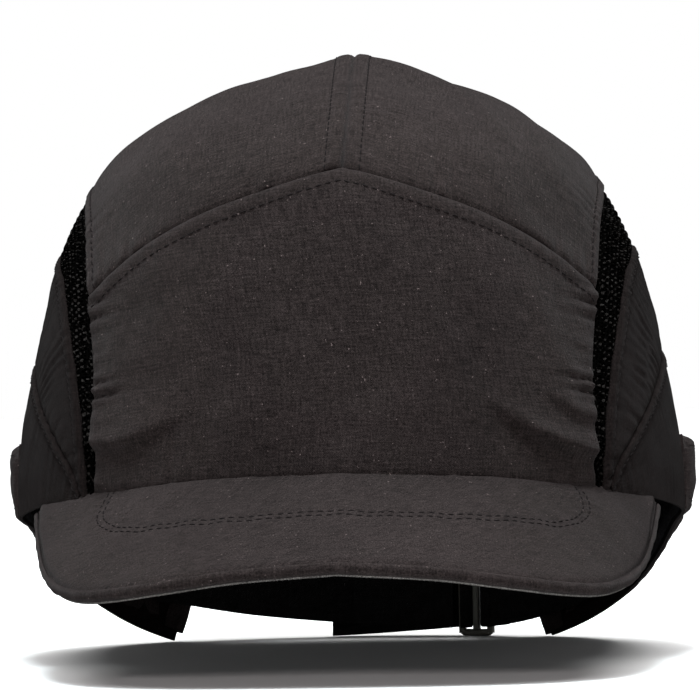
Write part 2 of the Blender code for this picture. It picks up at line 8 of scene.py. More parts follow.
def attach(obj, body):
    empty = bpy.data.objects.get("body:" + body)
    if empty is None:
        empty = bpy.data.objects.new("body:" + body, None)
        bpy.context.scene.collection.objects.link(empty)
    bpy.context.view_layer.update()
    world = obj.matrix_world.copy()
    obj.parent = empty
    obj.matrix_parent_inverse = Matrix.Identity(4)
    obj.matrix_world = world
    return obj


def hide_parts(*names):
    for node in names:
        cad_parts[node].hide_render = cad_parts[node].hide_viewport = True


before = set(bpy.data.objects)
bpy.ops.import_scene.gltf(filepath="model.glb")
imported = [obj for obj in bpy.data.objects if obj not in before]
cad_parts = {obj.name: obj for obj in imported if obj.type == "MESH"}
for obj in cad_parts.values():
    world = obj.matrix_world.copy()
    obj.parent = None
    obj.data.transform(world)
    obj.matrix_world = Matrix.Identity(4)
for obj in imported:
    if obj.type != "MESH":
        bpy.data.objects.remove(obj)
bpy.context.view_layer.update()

# The sizes below are in millimetres about the crown's axis: +X is the wearer's left, -Y the front.
MM = 0.001
CENTRE_Y = 21.1            # the crown's axis, from the frame's origin
LOWEST = 3.6               # height of the frame's floor in the tables below
CROWN_LEVELS = [           # height, half width, front depth and rear depth of the crown's level sections
    (0, 96.5, 110, 116), (20, 96.4, 110, 115.8), (40, 96.2, 109.5, 115.2), (60, 95.9, 108, 114),
    (70, 94.8, 107.2, 112.9), (80, 92.8, 106.2, 111.5), (100, 88.4, 102.5, 108), (120, 83.2, 97, 102),
    (138, 74.4, 89, 93.5), (152, 63.2, 76, 81), (163, 45.5, 58.5, 64), (171, 24.5, 39, 45.5),
    (176, 9, 21, 27), (178, 0, 0, 0)]
SHELL_LEVELS = [
    (55, 89.6, 102.5, 108), (80, 87, 100.5, 105.8), (100, 82.8, 97, 102.5), (120, 76.6, 90.3, 95.8),
    (136, 69, 81.7, 86.8), (148, 58.4, 72, 77), (156, 46, 60.6, 66), (162, 32, 47.5, 53),
    (166, 18, 31, 36), (168, 0, 0, 0)]
SQUARENESS = 2.15
RAY_HEIGHT = 70

# Seam lines as (azimuth, height): 0 degrees is the front centre, 90 the wearer's left, 180 the rear centre.
PEAK_SEAM = [(0, 58.2), (22, 56.6), (42, 52.9), (50, 51.4), (58, 49.9)]
BASE_EDGE = PEAK_SEAM + [(75, 46.5), (93, 43.5), (105, 40), (116, 31), (132, 16), (148.5, 4)]
FRONT_TOP = [(0, 143), (14, 136.8), (26, 130), (36, 122.3), (44.5, 114), (49.8, 108.5)]
FRONT_SIDE = [(41.8, 52.9), (41.4, 65), (42.2, 76), (44.7, 90), (49.8, 108.5)]
CROWN_SIDE = [(49.8, 108.5), (54, 119), (60, 127.5), (71, 134), (90, 138), (115, 137.5), (133, 131),
              (146, 120), (156, 107.5)]
CROWN_REAR = [(180, 101), (168, 103.3), (156, 107.5)]
MESH_LOWER = [(43.3, 52.6), (44.6, 65), (46.5, 76), (51, 90), (58, 104), (66, 114), (78, 119.7), (90, 122),
              (110, 121.5), (132, 115.5), (146, 109), (156, 104.4)]
SIDE_TOP = MESH_LOWER + [(168, 102.3), (180, 100.6)]
LOWER_SEAM = [(45, 54.5), (48.2, 61.5), (51.5, 65.8), (57.5, 72.7), (72, 84.5), (88, 90.8), (110, 94),
              (132, 92), (150, 87), (165, 83), (180, 81)]
ARCH = [(180, 59), (170, 56.8), (162, 50), (156, 39), (152.5, 26), (150.5, 14), (148.5, 4)]
PEAK_EDGE = [(0, -156, 37.2), (26, -154.5, 35.4), (46, -150, 32.6), (59.5, -142, 30.5), (69, -132, 29.6),
             (75.5, -120, 30.4), (80, -106, 32.6), (83, -91, 36.4), (85, -76, 41.2), (86.3, -63, 46),
             (87, -54.5, 49.2)]

CLOTH = 0.9                # thickness of the outer cloth
REAR_TUCK = 6.0            # how far the crown's cloth runs on under the side panels at the rear
MESH_TUCK = 2.5            # how far the mesh runs on under the side panels behind the temples
MESH_DEPTH = 0.9           # the mesh lies this far below the cloth
BAND_DEPTH = 1.7           # from the crown's surface in to the sweatband's outer side
DEEPEST_FOLD = BAND_DEPTH - CLOTH  # any deeper, and the cloth would pass through the sweatband
WIDE_LAP, CROWN_LAP = 5.0, 4.0     # from a panel's turned edge to its topstitch
LEAN = -0.004              # shift to the wearer's left for each millimetre of height: the crown leans right
RIDGE = 3.2                # and its ridge lies this far to the wearer's left at the top
STITCH = 2.7               # from one stitch to the next
THREAD = 0.2               # radius of the sewing thread
GRAIN = 0.85               # from one vertex of a cloth panel to the next

CAMERA_AWAY = 1.6
CAMERA_YAW = math.radians(1.6)
CAMERA_ROLL = math.radians(-0.9)
VIEW_WIDTH = 0.203         # what the frame spans at the crown's axis
VIEW_CENTRE = (0, CENTRE_Y * MM, 0.0889)


# ---------------------------------------------------------------- shapes

def unit(vectors):
    return vectors / np.maximum(np.linalg.norm(vectors, axis=-1, keepdims=True), 1e-12)


def bell(distance, width):
    return np.exp(-(distance / width) ** 2)


def smooth_curve(points, count):
    """count points evenly spaced along a smooth curve through the given points (Catmull-Rom)."""
    p = np.array(points, float)
    p = np.vstack([2 * p[0] - p[1], p, 2 * p[-1] - p[-2]])
    t = np.linspace(0, 1, 24, endpoint=False)[:, None]
    spans = [b + 0.5 * t * (c - a + t * (2 * a - 5 * b + 4 * c - d + t * (3 * b - a - 3 * c + d)))
             for a, b, c, d in zip(p, p[1:], p[2:], p[3:])]
    fine = np.vstack(spans + [p[-2:-1]])
    along = np.concatenate([[0], np.cumsum(np.linalg.norm(np.diff(fine, axis=0), axis=1))])
    at = np.linspace(0, along[-1], count)
    return np.stack([np.interp(at, along, column) for column in fine.T], axis=1)


class Dome:
    """A surface with level sections that are superellipses, deeper at the rear than at the front."""

    def __init__(self, levels):
        self.height, self.half, self.front, self.rear = smooth_curve(levels, 600).T
        self.top = self.height[-1]

    def excess(self, p):
        x, y, z = p[..., 0], p[..., 1], p[..., 2]
        half = np.maximum(np.interp(z, self.height, self.half), 1e-6)
        deep = np.where(y < 0, np.interp(z, self.height, self.front), np.interp(z, self.height, self.rear))
        value = (np.abs(x) / half) ** SQUARENESS + (np.abs(y) / np.maximum(deep, 1e-6)) ** SQUARENESS - 1
        return np.where(z >= self.top, 1e6, value)

    def project(self, points):
        eye = np.array([0, 0, RAY_HEIGHT], float)
        ray = np.asarray(points, float) - eye
        low, high = np.full(ray.shape[:-1], 0.02), np.full(ray.shape[:-1], 12.0)
        for _ in range(40):
            middle = (low + high) / 2
            outside = self.excess(eye + ray * middle[..., None]) > 0
            high = np.where(outside, middle, high)
            low = np.where(outside, low, middle)
        return eye + ray * low[..., None]

    def at(self, azimuth, height):
        a, z = np.radians(np.asarray(azimuth, float)), np.asarray(height, float)
        flat = np.stack([np.sin(a), -np.cos(a)], axis=-1)
        half = np.interp(z, self.height, self.half)
        deep = np.where(flat[..., 1] < 0, np.interp(z, self.height, self.front),
                        np.interp(z, self.height, self.rear))
        reach = ((np.abs(flat[..., 0]) / half) ** SQUARENESS
                 + (np.abs(flat[..., 1]) / deep) ** SQUARENESS) ** (-1 / SQUARENESS)
        return np.concatenate([flat * reach[..., None], z[..., None]], axis=-1)

    def line(self, pairs, count):
        knots = self.at([a for a, _ in pairs], [z for _, z in pairs])
        return self.project(smooth_curve(knots, count))

    def normals(self, p):
        step = 0.6
        grad = np.stack([self.excess(p + step * e) - self.excess(p - step * e) for e in np.eye(3)], axis=-1)
        grad[np.abs(grad[..., 2]) > 1e4] = (0, 0, 1)
        return unit(grad)


CROWN = Dome(CROWN_LEVELS)
SHELL = Dome(SHELL_LEVELS)


def mirrored(points):
    return np.asarray(points) * (-1, 1, 1)


def both_sides(points):
    return np.vstack([mirrored(points)[:0:-1], points])


def coons(low, high, start, end):
    """A grid of points that fills the space between four lines."""
    nu, nv = len(low), len(start)
    u, v = np.linspace(0, 1, nu)[:, None, None], np.linspace(0, 1, nv)[None, :, None]
    ruled_v = (1 - v) * low[:, None] + v * high[:, None]
    ruled_u = (1 - u) * start[None] + u * end[None]
    corners = ((1 - u) * (1 - v) * low[0] + u * (1 - v) * low[-1] + (1 - u) * v * high[0] + u * v * high[-1])
    return ruled_v + ruled_u - corners


def grid_normals(grid):
    return unit(np.cross(np.gradient(grid, axis=0), np.gradient(grid, axis=1)))


def run_length(grid, axis):
    """Distance along a grid's rows or columns from their first point."""
    steps = np.linalg.norm(np.diff(grid, axis=axis), axis=-1)
    first = np.zeros_like(np.take(steps, [0], axis=axis))
    return np.concatenate([first, np.cumsum(steps, axis=axis)], axis=axis)


def cloth_uv(grid):
    return np.stack([run_length(grid, 0), run_length(grid, 1)], axis=-1)


def strip_uv(along, across):
    return np.stack(np.broadcast_arrays(along[:, None], across[None]), axis=-1)


def from_edges(along, up):
    """How far each point of a grid lies from the nearest of its four edges."""
    return np.minimum.reduce([up, up[:, -1:] - up, along, along[-1:] - along])


def smooth_step(x, low, high):
    t = np.clip((x - low) / (high - low), 0, 1)
    return t * t * (3 - 2 * t)


def ripple(p, wavelength, seed, waves=18):
    """A smooth irregular field between about -1 and 1, the same on every run."""
    rng = np.random.default_rng(seed)
    direction = rng.normal(size=(waves, 3))
    direction /= np.linalg.norm(direction, axis=1, keepdims=True)
    lengths = wavelength * rng.uniform(0.7, 1.5, waves)
    phase = rng.uniform(0, 2 * math.pi, waves)
    total = np.zeros(p.shape[:-1])
    for d, length, start in zip(direction, lengths, phase):
        total += np.sin(2 * math.pi * (p @ d) / length + start)
    return total / math.sqrt(waves / 2)


def distance_to_line(p, line):
    """Distance from points to a polyline and the share of its length at the nearest place."""
    best, where = np.full(p.shape[:-1], 1e9), np.zeros(p.shape[:-1])
    count = len(line) - 1
    for k, (a, b) in enumerate(zip(line, line[1:])):
        ab = b - a
        t = np.clip(((p - a) @ ab) / (ab @ ab), 0, 1)
        d = np.linalg.norm(p - a - t[..., None] * ab, axis=-1)
        closer = d < best
        best, where = np.where(closer, d, best), np.where(closer, (k + t) / count, where)
    return best, where


# ---------------------------------------------------------------- objects

SHARP = 50                 # faces that meet at more degrees than this are shaded as an edge


def leaning(p):
    """Where the cloth lies once the crown has settled to one side."""
    up = np.maximum(p[..., 2] - 55, 0)
    shift = LEAN * up + RIDGE * bell(p[..., 0], 42) * smooth_step(p[..., 2], 115, 178)
    return p + shift[..., None] * np.array([1.0, 0, 0])


def new_object(name, vertices, faces, finish, uv=None, sharp=None, leans=True):
    """An object from millimetre points about the crown's axis, its faces turned outwards."""
    v = np.asarray(vertices, float).reshape(-1, 3)
    v = ((leaning(v) if leans else v) + (0, CENTRE_Y, -LOWEST)) * MM
    tri = np.array([[f[0], f[i], f[i + 1]] for f in faces for i in range(1, len(f) - 1)])
    corner = v[tri]
    flipped = np.einsum("ij,ij->i", corner[:, 0], np.cross(corner[:, 1], corner[:, 2])).sum() < 0
    if flipped:
        faces = [f[::-1] for f in faces]
    mesh = bpy.data.meshes.new(name)
    mesh.from_pydata(v.tolist(), [], [tuple(int(i) for i in f) for f in faces])
    if uv is not None:
        layer = mesh.uv_layers.new(name="cloth")
        loops = np.empty(len(mesh.loops), int)
        mesh.loops.foreach_get("vertex_index", loops)
        layer.data.foreach_set("uv", (np.asarray(uv).reshape(-1, 2)[loops] * MM).ravel())
    mesh.shade_smooth()
    if sharp:
        mesh.set_sharp_from_angle(angle=math.radians(sharp))
    mesh.materials.append(finish)
    obj = bpy.data.objects.new(name, mesh)
    bpy.context.scene.collection.objects.link(obj)
    return obj


def slab_faces(nu, nv, kept=None, around=False):
    """Faces of a closed wall between two grids laid one after the other. kept says which cells are solid."""
    rows = nu if around else nu - 1
    solid = np.ones((rows, nv - 1), bool) if kept is None else kept
    faces = []
    for i in range(rows):
        k = (i + 1) % nu
        for j in range(nv - 1):
            if not solid[i, j]:
                continue
            a, b, c, d = i * nv + j, k * nv + j, k * nv + j + 1, i * nv + j + 1
            m = nu * nv
            faces += [(a, b, c, d), (d + m, c + m, b + m, a + m)]
            left = solid[(i - 1) % rows, j] if around else i > 0 and solid[i - 1, j]
            right = solid[(i + 1) % rows, j] if around else i < rows - 1 and solid[i + 1, j]
            if j == 0 or not solid[i, j - 1]:
                faces.append((b, a, a + m, b + m))
            if j == nv - 2 or not solid[i, j + 1]:
                faces.append((d, c, c + m, d + m))
            if not left:
                faces.append((a, d, d + m, a + m))
            if not right:
                faces.append((c, b, b + m, c + m))
    return faces


def slab(name, outer, inner, finish, uv=None, leans=True):
    """A closed sheet between two grids of points."""
    both = None if uv is None else np.stack([uv, uv])
    faces = slab_faces(*outer.shape[:2])
    return new_object(name, np.stack([outer, inner]), faces, finish, both, SHARP, leans)


def sweep(name, sections, finish, uv=None, closed=False, leans=True):
    """A bar through a row of closed sections with the same number of points."""
    s = np.asarray(sections, float)
    rows, around = s.shape[:2]
    last = rows if closed else rows - 1
    faces = [(i * around + k, i * around + (k + 1) % around, (i + 1) % rows * around + (k + 1) % around,
              (i + 1) % rows * around + k) for i in range(last) for k in range(around)]
    if not closed:
        faces += [tuple(range(around))[::-1], tuple((rows - 1) * around + k for k in range(around))]
    return new_object(name, s, faces, finish, uv, SHARP, leans)


# ---------------------------------------------------------------- materials

class Nodes:
    """Short calls for building a material's nodes."""

    def __init__(self, name, colour, roughness):
        self.material = bpy.data.materials.new(name)
        self.material.use_nodes = True
        self.tree = self.material.node_tree
        self.shader = self.tree.nodes["Principled BSDF"]
        self.set("Base Color", (*colour, 1))
        self.set("Roughness", roughness)

    def set(self, socket, value):
        self.shader.inputs[socket].default_value = value

    def feed(self, socket, value):
        self.tree.links.new(value, self.shader.inputs[socket])

    def put(self, socket, value):
        if isinstance(value, bpy.types.NodeSocket):
            self.tree.links.new(value, socket)
        else:
            socket.default_value = value

    def make(self, kind, inputs=(), **settings):
        node = self.tree.nodes.new(kind)
        for key, value in settings.items():
            setattr(node, key, value)
        for key, value in dict(inputs).items():
            self.put(node.inputs[key], value)
        return node

    def math(self, operation, a, b=0.0, clamp=False):
        node = self.make("ShaderNodeMath", {0: a, 1: b}, operation=operation, use_clamp=clamp)
        return node.outputs[0]

    def scaled(self, vector, scale):
        node = self.make("ShaderNodeMapping", {"Vector": vector, "Scale": scale})
        return node.outputs["Vector"]

    def noise(self, vector, scale, detail=2.0, rough=0.5):
        node = self.make("ShaderNodeTexNoise", {"Vector": vector, "Scale": scale, "Detail": detail,
                                                "Roughness": rough})
        return node.outputs["Fac"]

    def ramp(self, value, low, high, from_low=0.0, from_high=1.0):
        node = self.make("ShaderNodeMapRange", {0: value, 1: from_low, 2: from_high, 3: low, 4: high})
        return node.outputs[0]

    def mix(self, share, one, two):
        node = self.make("ShaderNodeMix", data_type="RGBA")
        self.put(node.inputs[0], share)
        self.put(node.inputs[6], one)
        self.put(node.inputs[7], two)
        return node.outputs[2]

    def tint(self, colour, shade):
        node = self.make("ShaderNodeVectorMath", {0: colour, "Scale": shade}, operation="SCALE")
        return node.outputs[0]

    def bump(self, height, distance):
        node = self.make("ShaderNodeBump", {"Height": height, "Distance": distance, "Strength": 1.0})
        self.feed("Normal", node.outputs[0])

    def cells(self, vector, scale):
        node = self.make("ShaderNodeTexVoronoi", {"Vector": vector, "Scale": scale})
        return node.outputs["Distance"]

    def cloth_place(self):
        return self.make("ShaderNodeUVMap", uv_map="cloth").outputs[0]

    def place(self):
        return self.make("ShaderNodeTexCoord").outputs["Object"]


def woven(name, colour, pitch, rise, roughness=0.9, sheen=0.0, lint=0.5):
    """Plain-woven cloth: crossing threads of the given pitch, slubs along them, fading, specks of lint and
    painted shade between the threads.
    """
    n = Nodes(name, colour, roughness)
    n.set("Sheen Weight", sheen)
    n.set("Sheen Roughness", 0.5)
    n.set("Specular IOR Level", 0.0)
    uv, place = n.cloth_place(), n.place()
    split = n.make("ShaderNodeSeparateXYZ", {0: uv})
    turn = 2 * math.pi / (pitch * MM)
    wobble = n.ramp(n.noise(place, 900, 1), -1.4, 1.4)
    across = n.math("SINE", n.math("ADD", n.math("MULTIPLY", split.outputs[0], turn), wobble))
    along = n.math("SINE", n.math("ADD", n.math("MULTIPLY", split.outputs[1], turn), wobble))
    weave = n.math("MULTIPLY", across, along)
    warp = n.noise(n.scaled(uv, (0.7 / (pitch * MM), 180, 1)), 1.0, 2)
    weft = n.noise(n.scaled(uv, (180, 0.7 / (pitch * MM), 1)), 1.0, 2)
    slub = n.math("ADD", warp, weft)
    grain = n.noise(place, 2300, 2, 0.6)
    rough = n.math("ADD", slub, n.math("MULTIPLY", grain, 0.9))
    n.bump(n.math("ADD", n.math("MULTIPLY", weave, 0.4), rough), rise * MM)
    faded = n.ramp(n.noise(place, 22, 4, 0.6), -0.16, 0.16, 0.3, 0.7)
    shade = n.math("ADD", n.ramp(slub, 0.5, 1.5, 0.6, 1.4), faded)
    # The weave lightens the raised crossings and darkens the sunk ones, in step with the bump: painted shade
    # between the threads.
    shade = n.math("MULTIPLY", shade, n.ramp(weave, 0.85, 1.12, -1, 1))
    shade = n.math("MULTIPLY", shade, n.ramp(grain, 0.45, 1.6, 0.3, 0.7))
    speck = n.math("MULTIPLY", n.ramp(n.noise(place, 1250, 1), 0, 1, 0.74, 0.8), lint, clamp=True)
    pale = (*(12 * c for c in colour), 1)
    n.feed("Base Color", n.mix(speck, n.tint(colour, shade), pale))
    return n.material


def spacer_mesh(name):
    """Open knitted mesh: rows of cords with holes between them and glossy threads, with painted glints on the
    beads and painted shade in the holes.
    """
    n = Nodes(name, (0.002, 0.002, 0.002), 0.5)
    n.set("Specular IOR Level", 0.0)
    uv, place = n.cloth_place(), n.place()
    cells = n.make("ShaderNodeTexVoronoi", {"Vector": n.scaled(uv, (1, 0.75, 1)), "Scale": 900.0,
                                            "Randomness": 0.35}, feature="DISTANCE_TO_EDGE")
    wall = n.ramp(cells.outputs["Distance"], 1, 0, 0.05, 0.3)
    fibre = n.noise(place, 2600, 3, 0.6)
    n.bump(n.math("ADD", wall, n.math("MULTIPLY", fibre, 1.5)), 0.9 * MM)
    split = n.make("ShaderNodeSeparateXYZ", {0: uv})
    along = n.math("SINE", n.math("MULTIPLY", split.outputs[0], 2 * math.pi / (2.1 * MM)))
    across = n.math("SINE", n.math("MULTIPLY", split.outputs[1], 2 * math.pi / (2.3 * MM)))
    uneven = n.ramp(n.noise(place, 900, 2), -1.1, 1.1, 0.25, 0.75)
    bead = n.math("ADD", n.math("MULTIPLY", along, across), uneven)
    # The bead pattern lightens the base colour many times over: painted glints on the threads. It also makes
    # the threads less rough, which is real gloss.
    gloss_and_painted_glint = n.ramp(bead, 0, 1, 0.55, 1.1)
    # The cell walls are lighter and the holes between them darker, in step with the bump: painted shade in
    # the holes.
    shade = n.math("ADD", n.math("MULTIPLY", wall, 0.5), n.math("MULTIPLY", gloss_and_painted_glint, 8.0))
    n.feed("Base Color", n.tint((0.0020, 0.0018, 0.0017), shade))
    n.feed("Roughness", n.ramp(gloss_and_painted_glint, 0.85, 0.35, 0, 1))
    return n.material


def moulded(name, colour, roughness, grain=0.05, scale=1500, gloss=0.4):
    """Moulded plastic with a fine texture and faint mottling."""
    n = Nodes(name, colour, roughness)
    n.set("Specular IOR Level", gloss)
    place = n.place()
    n.bump(n.noise(place, scale, 2), grain * MM)
    n.feed("Base Color", n.tint(colour, n.ramp(n.noise(place, 30, 3), 0.88, 1.12)))
    n.feed("Roughness", n.ramp(n.noise(place, 120, 3), roughness - 0.08, roughness + 0.1))
    return n.material


def foam(name, colour):
    n = Nodes(name, colour, 0.95)
    place = n.place()
    cells = n.cells(place, 1100.0)
    n.bump(cells, 0.25 * MM)
    # The pores' middles are darker than their rims, where the bump sinks them: painted shade in the pores.
    shade = n.math("MULTIPLY", n.ramp(cells, 0.7, 1.15, 0, 0.7), n.ramp(n.noise(place, 40, 3), 0.85, 1.15))
    n.feed("Base Color", n.tint(colour, shade))
    return n.material


def towelling(name, colour):
    n = Nodes(name, colour, 1.0)
    n.set("Specular IOR Level", 0.0)
    place = n.place()
    loops = n.cells(place, 1500.0)
    pile = n.noise(place, 500, 4, 0.6)
    n.bump(n.math("ADD", loops, pile), 0.4 * MM)
    shade = n.math("MULTIPLY", n.ramp(loops, 1.15, 0.65, 0, 0.8), n.ramp(pile, 0.7, 1.3, 0.3, 0.7))
    n.feed("Base Color", n.tint(colour, shade))
    return n.material


FINISH = {
    "cloth": woven("charcoal_cloth", (0.0100, 0.0077, 0.0075), 0.46, 0.12, sheen=0.02),
    # A darker copy of the charcoal cloth for the side and lower panels: painted shade for the cap's sides,
    # which face away from the lamps.
    "side_cloth_painted_shade": woven("side_cloth_painted_shade", (0.0040, 0.0030, 0.0029), 0.46, 0.10, sheen=0.01, lint=0.3),
    "lining": woven("lining_cloth", (0.003, 0.0027, 0.0027), 0.5, 0.08, lint=0.15),
    "mesh": spacer_mesh("black_spacer_mesh"),
    # The thread is dark charcoal, and a little darker than the cloth as painted shade for the shadowed stitch
    # holes.
    "thread": moulded("sewing_thread", (0.007, 0.006, 0.006), 0.8, 0.05, 6000, 0.0),
    "piping": woven("pale_piping", (0.06, 0.056, 0.053), 0.5, 0.1, lint=0),
    "towelling": towelling("black_towelling", (0.0045, 0.0043, 0.0045)),
    "webbing": woven("black_webbing", (0.005, 0.0047, 0.0047), 0.9, 0.22, 0.8, sheen=0.01, lint=0.3),
    "loops": towelling("black_loop_pile", (0.004, 0.004, 0.004)),
    "shell": moulded("black_abs", (0.010, 0.010, 0.011), 0.42),
    "board": moulded("board_plastic", (0.018, 0.018, 0.02), 0.5),
    "ring": moulded("ring_plastic", (0.045, 0.043, 0.034), 0.55, 0.03),
    "foam": foam("grey_foam", (0.085, 0.085, 0.09)),
    "label": woven("white_label", (0.55, 0.54, 0.5), 0.3, 0.03, roughness=0.6, lint=0),
}


def place_piece(obj, body, slot, *nodes):
    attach(obj, body)
    if nodes:
        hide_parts(*nodes)
    return obj


# ---------------------------------------------------------------- cloth


SIDES = (("left", 1), ("right", -1))


class Edge:
    """How one edge of a panel is sewn.

    lap: turned under, with a topstitch. tuck: set in beside its neighbour.
    under: runs on below its neighbour. none: left as it is.
    """

    def __init__(self, kind, width=0.0, pucker=0.0, wave=6.0, reach=9.0):
        self.kind, self.width, self.pucker, self.wave, self.reach = kind, width, pucker, wave, reach

    def height(self, away, along, seed):
        drift = ripple(along[..., None] * np.array([1.0, 0.3, 0]), 40, seed, 6)
        if self.kind == "lap":
            h = 0.45 * (1 - smooth_step(away, self.width - 0.6, self.width + 0.8))
            dimple = 0.65 + 0.35 * np.cos(2 * math.pi * along / STITCH)
            h -= bell(away, 0.8) + 0.32 * bell(away - self.width, 0.8) * dimple
        elif self.kind == "under":
            h = -1.4 * (1 - smooth_step(away, 0.5, 4.0))
        elif self.kind == "tuck":
            h = -0.75 * np.exp(-away / 0.9)
        else:
            h = 0 * away
        crease = 1.9 * np.abs(np.sin(math.pi * along / self.wave + 1.6 * drift)) ** 0.75 - 1.2
        uneven = ripple(along[..., None] * np.array([0.2, 1.0, 0]), 17, seed + 3, 6)
        strength = self.pucker * np.clip(0.75 + 0.6 * uneven, 0.15, 1.5)
        reach = self.reach * np.clip(1 + 0.5 * drift, 0.5, 1.6)
        h += strength * crease * np.exp(-(away / reach) ** 1.3) * smooth_step(away, 0, 1.2)
        return h


# Folds in the cloth as (points as azimuth and height, width, size). Soft ones are valleys, and a size below
# nothing makes a ridge. Lapping ones run out to a seam, and the cloth above stands out over the cloth below.
SOFT_FOLDS = [
    ([(-20, 112), (-31, 106), (-42, 102)], 7.0, 0.5), ([(10, 118), (24, 108), (38, 104)], 8.0, -0.5),
    ([(-10, 84), (-2, 80), (9, 82)], 9.0, 0.5), ([(-30, 92), (-38, 89), (-43, 88)], 4.0, -0.6),
    ([(6, 66), (16, 68), (26, 62)], 8.0, 0.6), ([(-24, 66), (-14, 63), (-4, 64)], 9.0, 0.5),
    ([(23, 79), (27, 73), (31, 69), (38, 65)], 2.2, -0.9), ([(-22, 92), (-10, 98), (4, 96)], 10.0, 0.4),
]
LAPPING_FOLDS = [
    ([(-20, 78), (-23, 76), (-26, 73), (-29, 70.5), (-32, 68.2), (-36, 66.6), (-41, 66.8), (-44, 67.4)],
     7.5, 4.0),
    ([(20, 82), (23, 77), (26.8, 71.5), (29.8, 68), (34.2, 65), (39.2, 63.2), (43, 62)], 7.0, 4.2),
    ([(30, 83), (31.2, 81.2), (34.2, 77.2), (37.5, 73.8), (42.5, 72)], 4.5, 3.0),
    ([(34.5, 89), (36, 87.2), (38.8, 84), (42, 79.5)], 3.5, 1.3),
    ([(-32, 86), (-38.8, 82), (-44, 81.7)], 3.0, 1.2),
    ([(-34, 76), (-37.5, 74), (-43, 73)], 2.5, 1.1), ([(-36, 77), (-43, 77)], 2.2, 0.9),
    ([(-35, 95), (-40, 92), (-44, 91)], 2.5, 0.7), ([(35, 97), (40, 94), (44, 90)], 2.5, 0.7),
]


def near_fold(p, pairs):
    """How far points lie from a fold, where along it, and whether they are above it (1) or below (-1)."""
    line = smooth_curve(CROWN.at([a for a, _ in pairs], [z for _, z in pairs]), 24)
    away, where = distance_to_line(p, line)
    level = np.interp(where, np.linspace(0, 1, len(line)), line[:, 2])
    return away, where, np.sign(p[..., 2] - level)


def fold_height(p):
    total = np.zeros(p.shape[:-1])
    for pairs, width, depth in SOFT_FOLDS:
        away, where, _ = near_fold(p, pairs)
        total -= depth * bell(away, width) * np.sin(math.pi * np.clip(where, 0.03, 0.97)) ** 0.6
    for pairs, width, height in LAPPING_FOLDS:
        away, where, sign = near_fold(p, pairs)
        lift = 0.5 + 0.5 * np.tanh(away * sign / 1.7)
        fade = smooth_step(where, 0, 0.6) * smooth_step(1 - where, -0.02, 0.08)
        total += height * lift * np.exp(-away / width) * fade
    return np.maximum(total, -DEEPEST_FOLD)


def cloth_grid(low, high, start, end):
    """A crown patch from four seam lines, each given with as many points as its length needs."""
    return CROWN.project(coons(low, high, start, end))


def panel(name, grid, edges, finish, seed, extra=None, depth=0.0):
    """A cloth panel on the crown, sewn along its four edges: low, high, start, end."""
    along_u, along_v = run_length(grid, 0), run_length(grid, 1)
    away = [along_v, along_v[:, -1:] - along_v, along_u, along_u[-1:] - along_u]
    along = [along_u, along_u, along_v, along_v]
    height = 0.35 * ripple(grid, 38, seed) + 0.12 * ripple(grid, 14, seed + 1)
    height = height * smooth_step(np.minimum.reduce(away), 0, 12) + fold_height(grid) - depth
    for edge, a, s in zip(edges, away, along):
        height = height + edge.height(a, s, seed + 7)
    if extra is not None:
        height = height + extra(grid, away, along)
    normal = CROWN.normals(grid)
    outer = grid + height[..., None] * normal
    obj = slab(name, outer, outer - CLOTH * normal, FINISH[finish], cloth_uv(grid))
    return obj, outer, away


def counts(line):
    """How many points a line needs for the cloth's grain."""
    return max(4, int(run_length(line, 0)[-1] / GRAIN))


def stitches(name, path, normals):
    """A row of lock stitches: short threads that dip into the cloth at both ends."""
    along = run_length(path, 0)
    total = int(along[-1] / STITCH)
    ring = np.radians(np.arange(6) * 60)
    points, faces = [], []
    for k in range(total):
        at = STITCH * (k + 0.5 + np.array([-0.38, -0.24, 0.0, 0.24, 0.38]))
        lift = THREAD * np.array([-1.5, 0.2, 0.65, 0.2, -1.5])
        centre = np.stack([np.interp(at, along, path[:, c]) for c in range(3)], axis=1)
        up = np.stack([np.interp(at, along, normals[:, c]) for c in range(3)], axis=1)
        side = np.cross(unit(centre[-1] - centre[0]), up)
        centre = centre + lift[:, None] * up
        first = len(points)
        for c, s, u in zip(centre, side, up):
            points += [c + THREAD * (math.cos(a) * s + math.sin(a) * u) for a in ring]
        for i in range(4):
            for m in range(6):
                a, b = first + i * 6 + m, first + i * 6 + (m + 1) % 6
                faces.append((a, b, b + 6, a + 6))
        faces += [tuple(first + m for m in range(6))[::-1], tuple(first + 24 + m for m in range(6))]
    place_piece(new_object(name, points, faces, FINISH["thread"]), "cap", "cloth")


def row_at(outer, away, distance):
    """The line on a panel's surface that keeps a distance from one of its long edges."""
    rows = []
    for points, d in zip(outer, away):
        order = np.argsort(d)
        rows.append([np.interp(distance, d[order], points[order, c]) for c in range(3)])
    return np.array(rows)


def topstitch(name, outer, away, distance, trim=0, facing=1):
    """Stitches along a panel's edge. trim drops points at the ends, facing -1 sews on the inner side."""
    row = row_at(outer, away, distance)
    kept = slice(trim, len(row) - trim)
    stitches(name, row[kept], facing * CROWN.normals(row)[kept])


